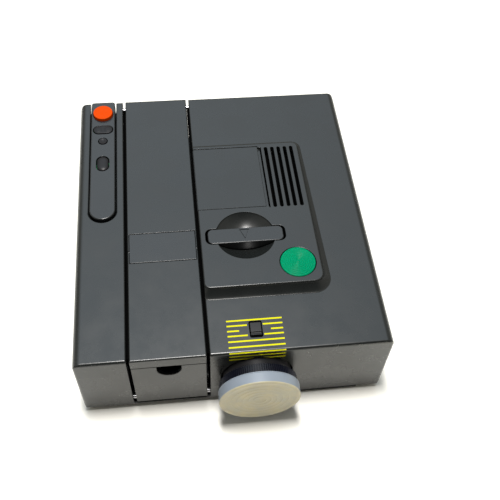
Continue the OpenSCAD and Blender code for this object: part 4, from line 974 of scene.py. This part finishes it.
# The strip on the rounded edge, a part ring round the edge's own axis.
TURNS = (-12, -6, 0, 6, 12)
bend = [(EDGE_R + LINE_RISE, 135 + t) for t in TURNS] + [(EDGE_R - LINE_SUNK, 135 - t) for t in TURNS]
bend = [(r, math.radians(a)) for r, a in bend]
strips.append(prism("lines", [(Y_FRONT + EDGE_R + r * math.cos(a), Z_TOP - EDGE_R + r * math.sin(a))
                              for r, a in bend], "x", LINE_X0, LINE_X1))
lines = add(*strips)
cut(lines, rod("lens_way", "y", (AXIS_X, AXIS_Z), LENS_WAY_R + 0.1, Y_FRONT - 1, Y_FRONT + 1, 96))
lines.name = "stripes"
settle(lines, "root", "cover_plastic", paint=YELLOW)

# ---- Floor, light and camera ---------------------------------------------------------------

floor = Shader("floor")
patches = floor.span(floor.noise(3.0, 3.0), 0.3, 0.7, 0.0, 1.0)
tone = floor.mix(patches, rgb(0.87, 0.86, 0.81), rgb(0.9, 0.89, 0.84))
floor.set(Base_Color=tone, Roughness=0.7, Normal=floor.bump(floor.noise(300.0, 3.0), 0.03, 0.0001))
REACH = 3.0          # metres from the middle to the floor's edge
ground = add_mesh("ground", [(-REACH, -REACH, 0), (REACH, -REACH, 0), (REACH, REACH, 0), (-REACH, REACH, 0)],
                  [(0, 1, 2, 3)])
ground.data.materials.append(floor.material)

scene = bpy.context.scene
scene.view_settings.view_transform = "Standard"


class Sky(Shader):
    """World light mixed from soft lobes, each looked up by its direction."""

    def __init__(self, name, colour, strength):
        world = bpy.data.worlds.new(name)
        scene.world = world
        world.use_nodes = True
        self.tree = world.node_tree
        self.where = self.node("ShaderNodeTexCoord").outputs["Generated"]
        self.light = scaled(colour, strength, math.inf)

    def lobe(self, tilt, turn, near, far, colour, strength):
        """Blends towards a colour round a direction: tilt above the floor, turn from +Y to the right."""
        tilt, turn = math.radians(tilt), math.radians(turn)
        dot = self.node("ShaderNodeVectorMath", operation="DOT_PRODUCT")
        self.link(self.where, dot.inputs[0])
        level = math.cos(tilt)
        dot.inputs[1].default_value = (level * math.sin(turn), level * math.cos(turn), math.sin(tilt))
        outer, inner = math.cos(math.radians(far)), math.cos(math.radians(near))
        share = self.span(dot.outputs["Value"], outer, inner, 0.0, 1.0)
        self.light = self.mix(share, self.light, scaled(colour, strength, math.inf))

    def finish(self):
        self.link(self.light, self.tree.nodes["Background"].inputs["Color"])


WARM, COOL = rgb(1.0, 0.97, 0.86), rgb(0.84, 0.95, 1.04)
sky = Sky("studio", WARM, 0.42)
sky.lobe(38, 180, 20, 55, WARM, 0.04)
sky.lobe(57, -6, 0, 38, COOL, 2.05)
sky.finish()


def lamp(name, size, place_at, aim, power, colour):
    light = bpy.data.lights.new(name, "AREA")
    light.shape = "RECTANGLE"
    light.size, light.size_y = size
    light.energy = power
    light.color = colour
    obj = add_object(name, light)
    obj.location = place_at
    obj.rotation_euler = (Vector(aim) - Vector(place_at)).to_track_quat("-Z", "Y").to_euler()
    return obj


lamp("overhead", (0.4, 0.22), (-0.05, -0.02, 1.8), (0, 0, 0.05), 42.0, (1.0, 0.98, 0.95))

floor_lamp = lamp("right_floor", (0.3, 0.3), (0.47, -0.42, 0.45), (0.47, -0.42, 0.0), 7.0, (1.0, 0.96, 0.8))
floor_lamp.data.spread = math.radians(60)

camera = add_object("camera", bpy.data.cameras.new("camera"))
camera.data.lens = 52.53
camera.data.sensor_width = 36.0
camera.data.clip_start = 0.01
camera.data.clip_end = 20.0
# Place and turn from a camera solve on the body's corners: the picture's right and up in the row frame.
CAMERA_AT = (-0.0395, -0.4344 + MID * MM, 0.6264)
right_way, up_way = Vector((0.99345, -0.10814, 0.03704)), Vector((0.06624, 0.80873, 0.58444))
turned = Matrix((right_way, up_way, right_way.cross(up_way))).transposed().to_4x4()
camera.matrix_world = Matrix.Translation(CAMERA_AT) @ turned
scene.camera = camera
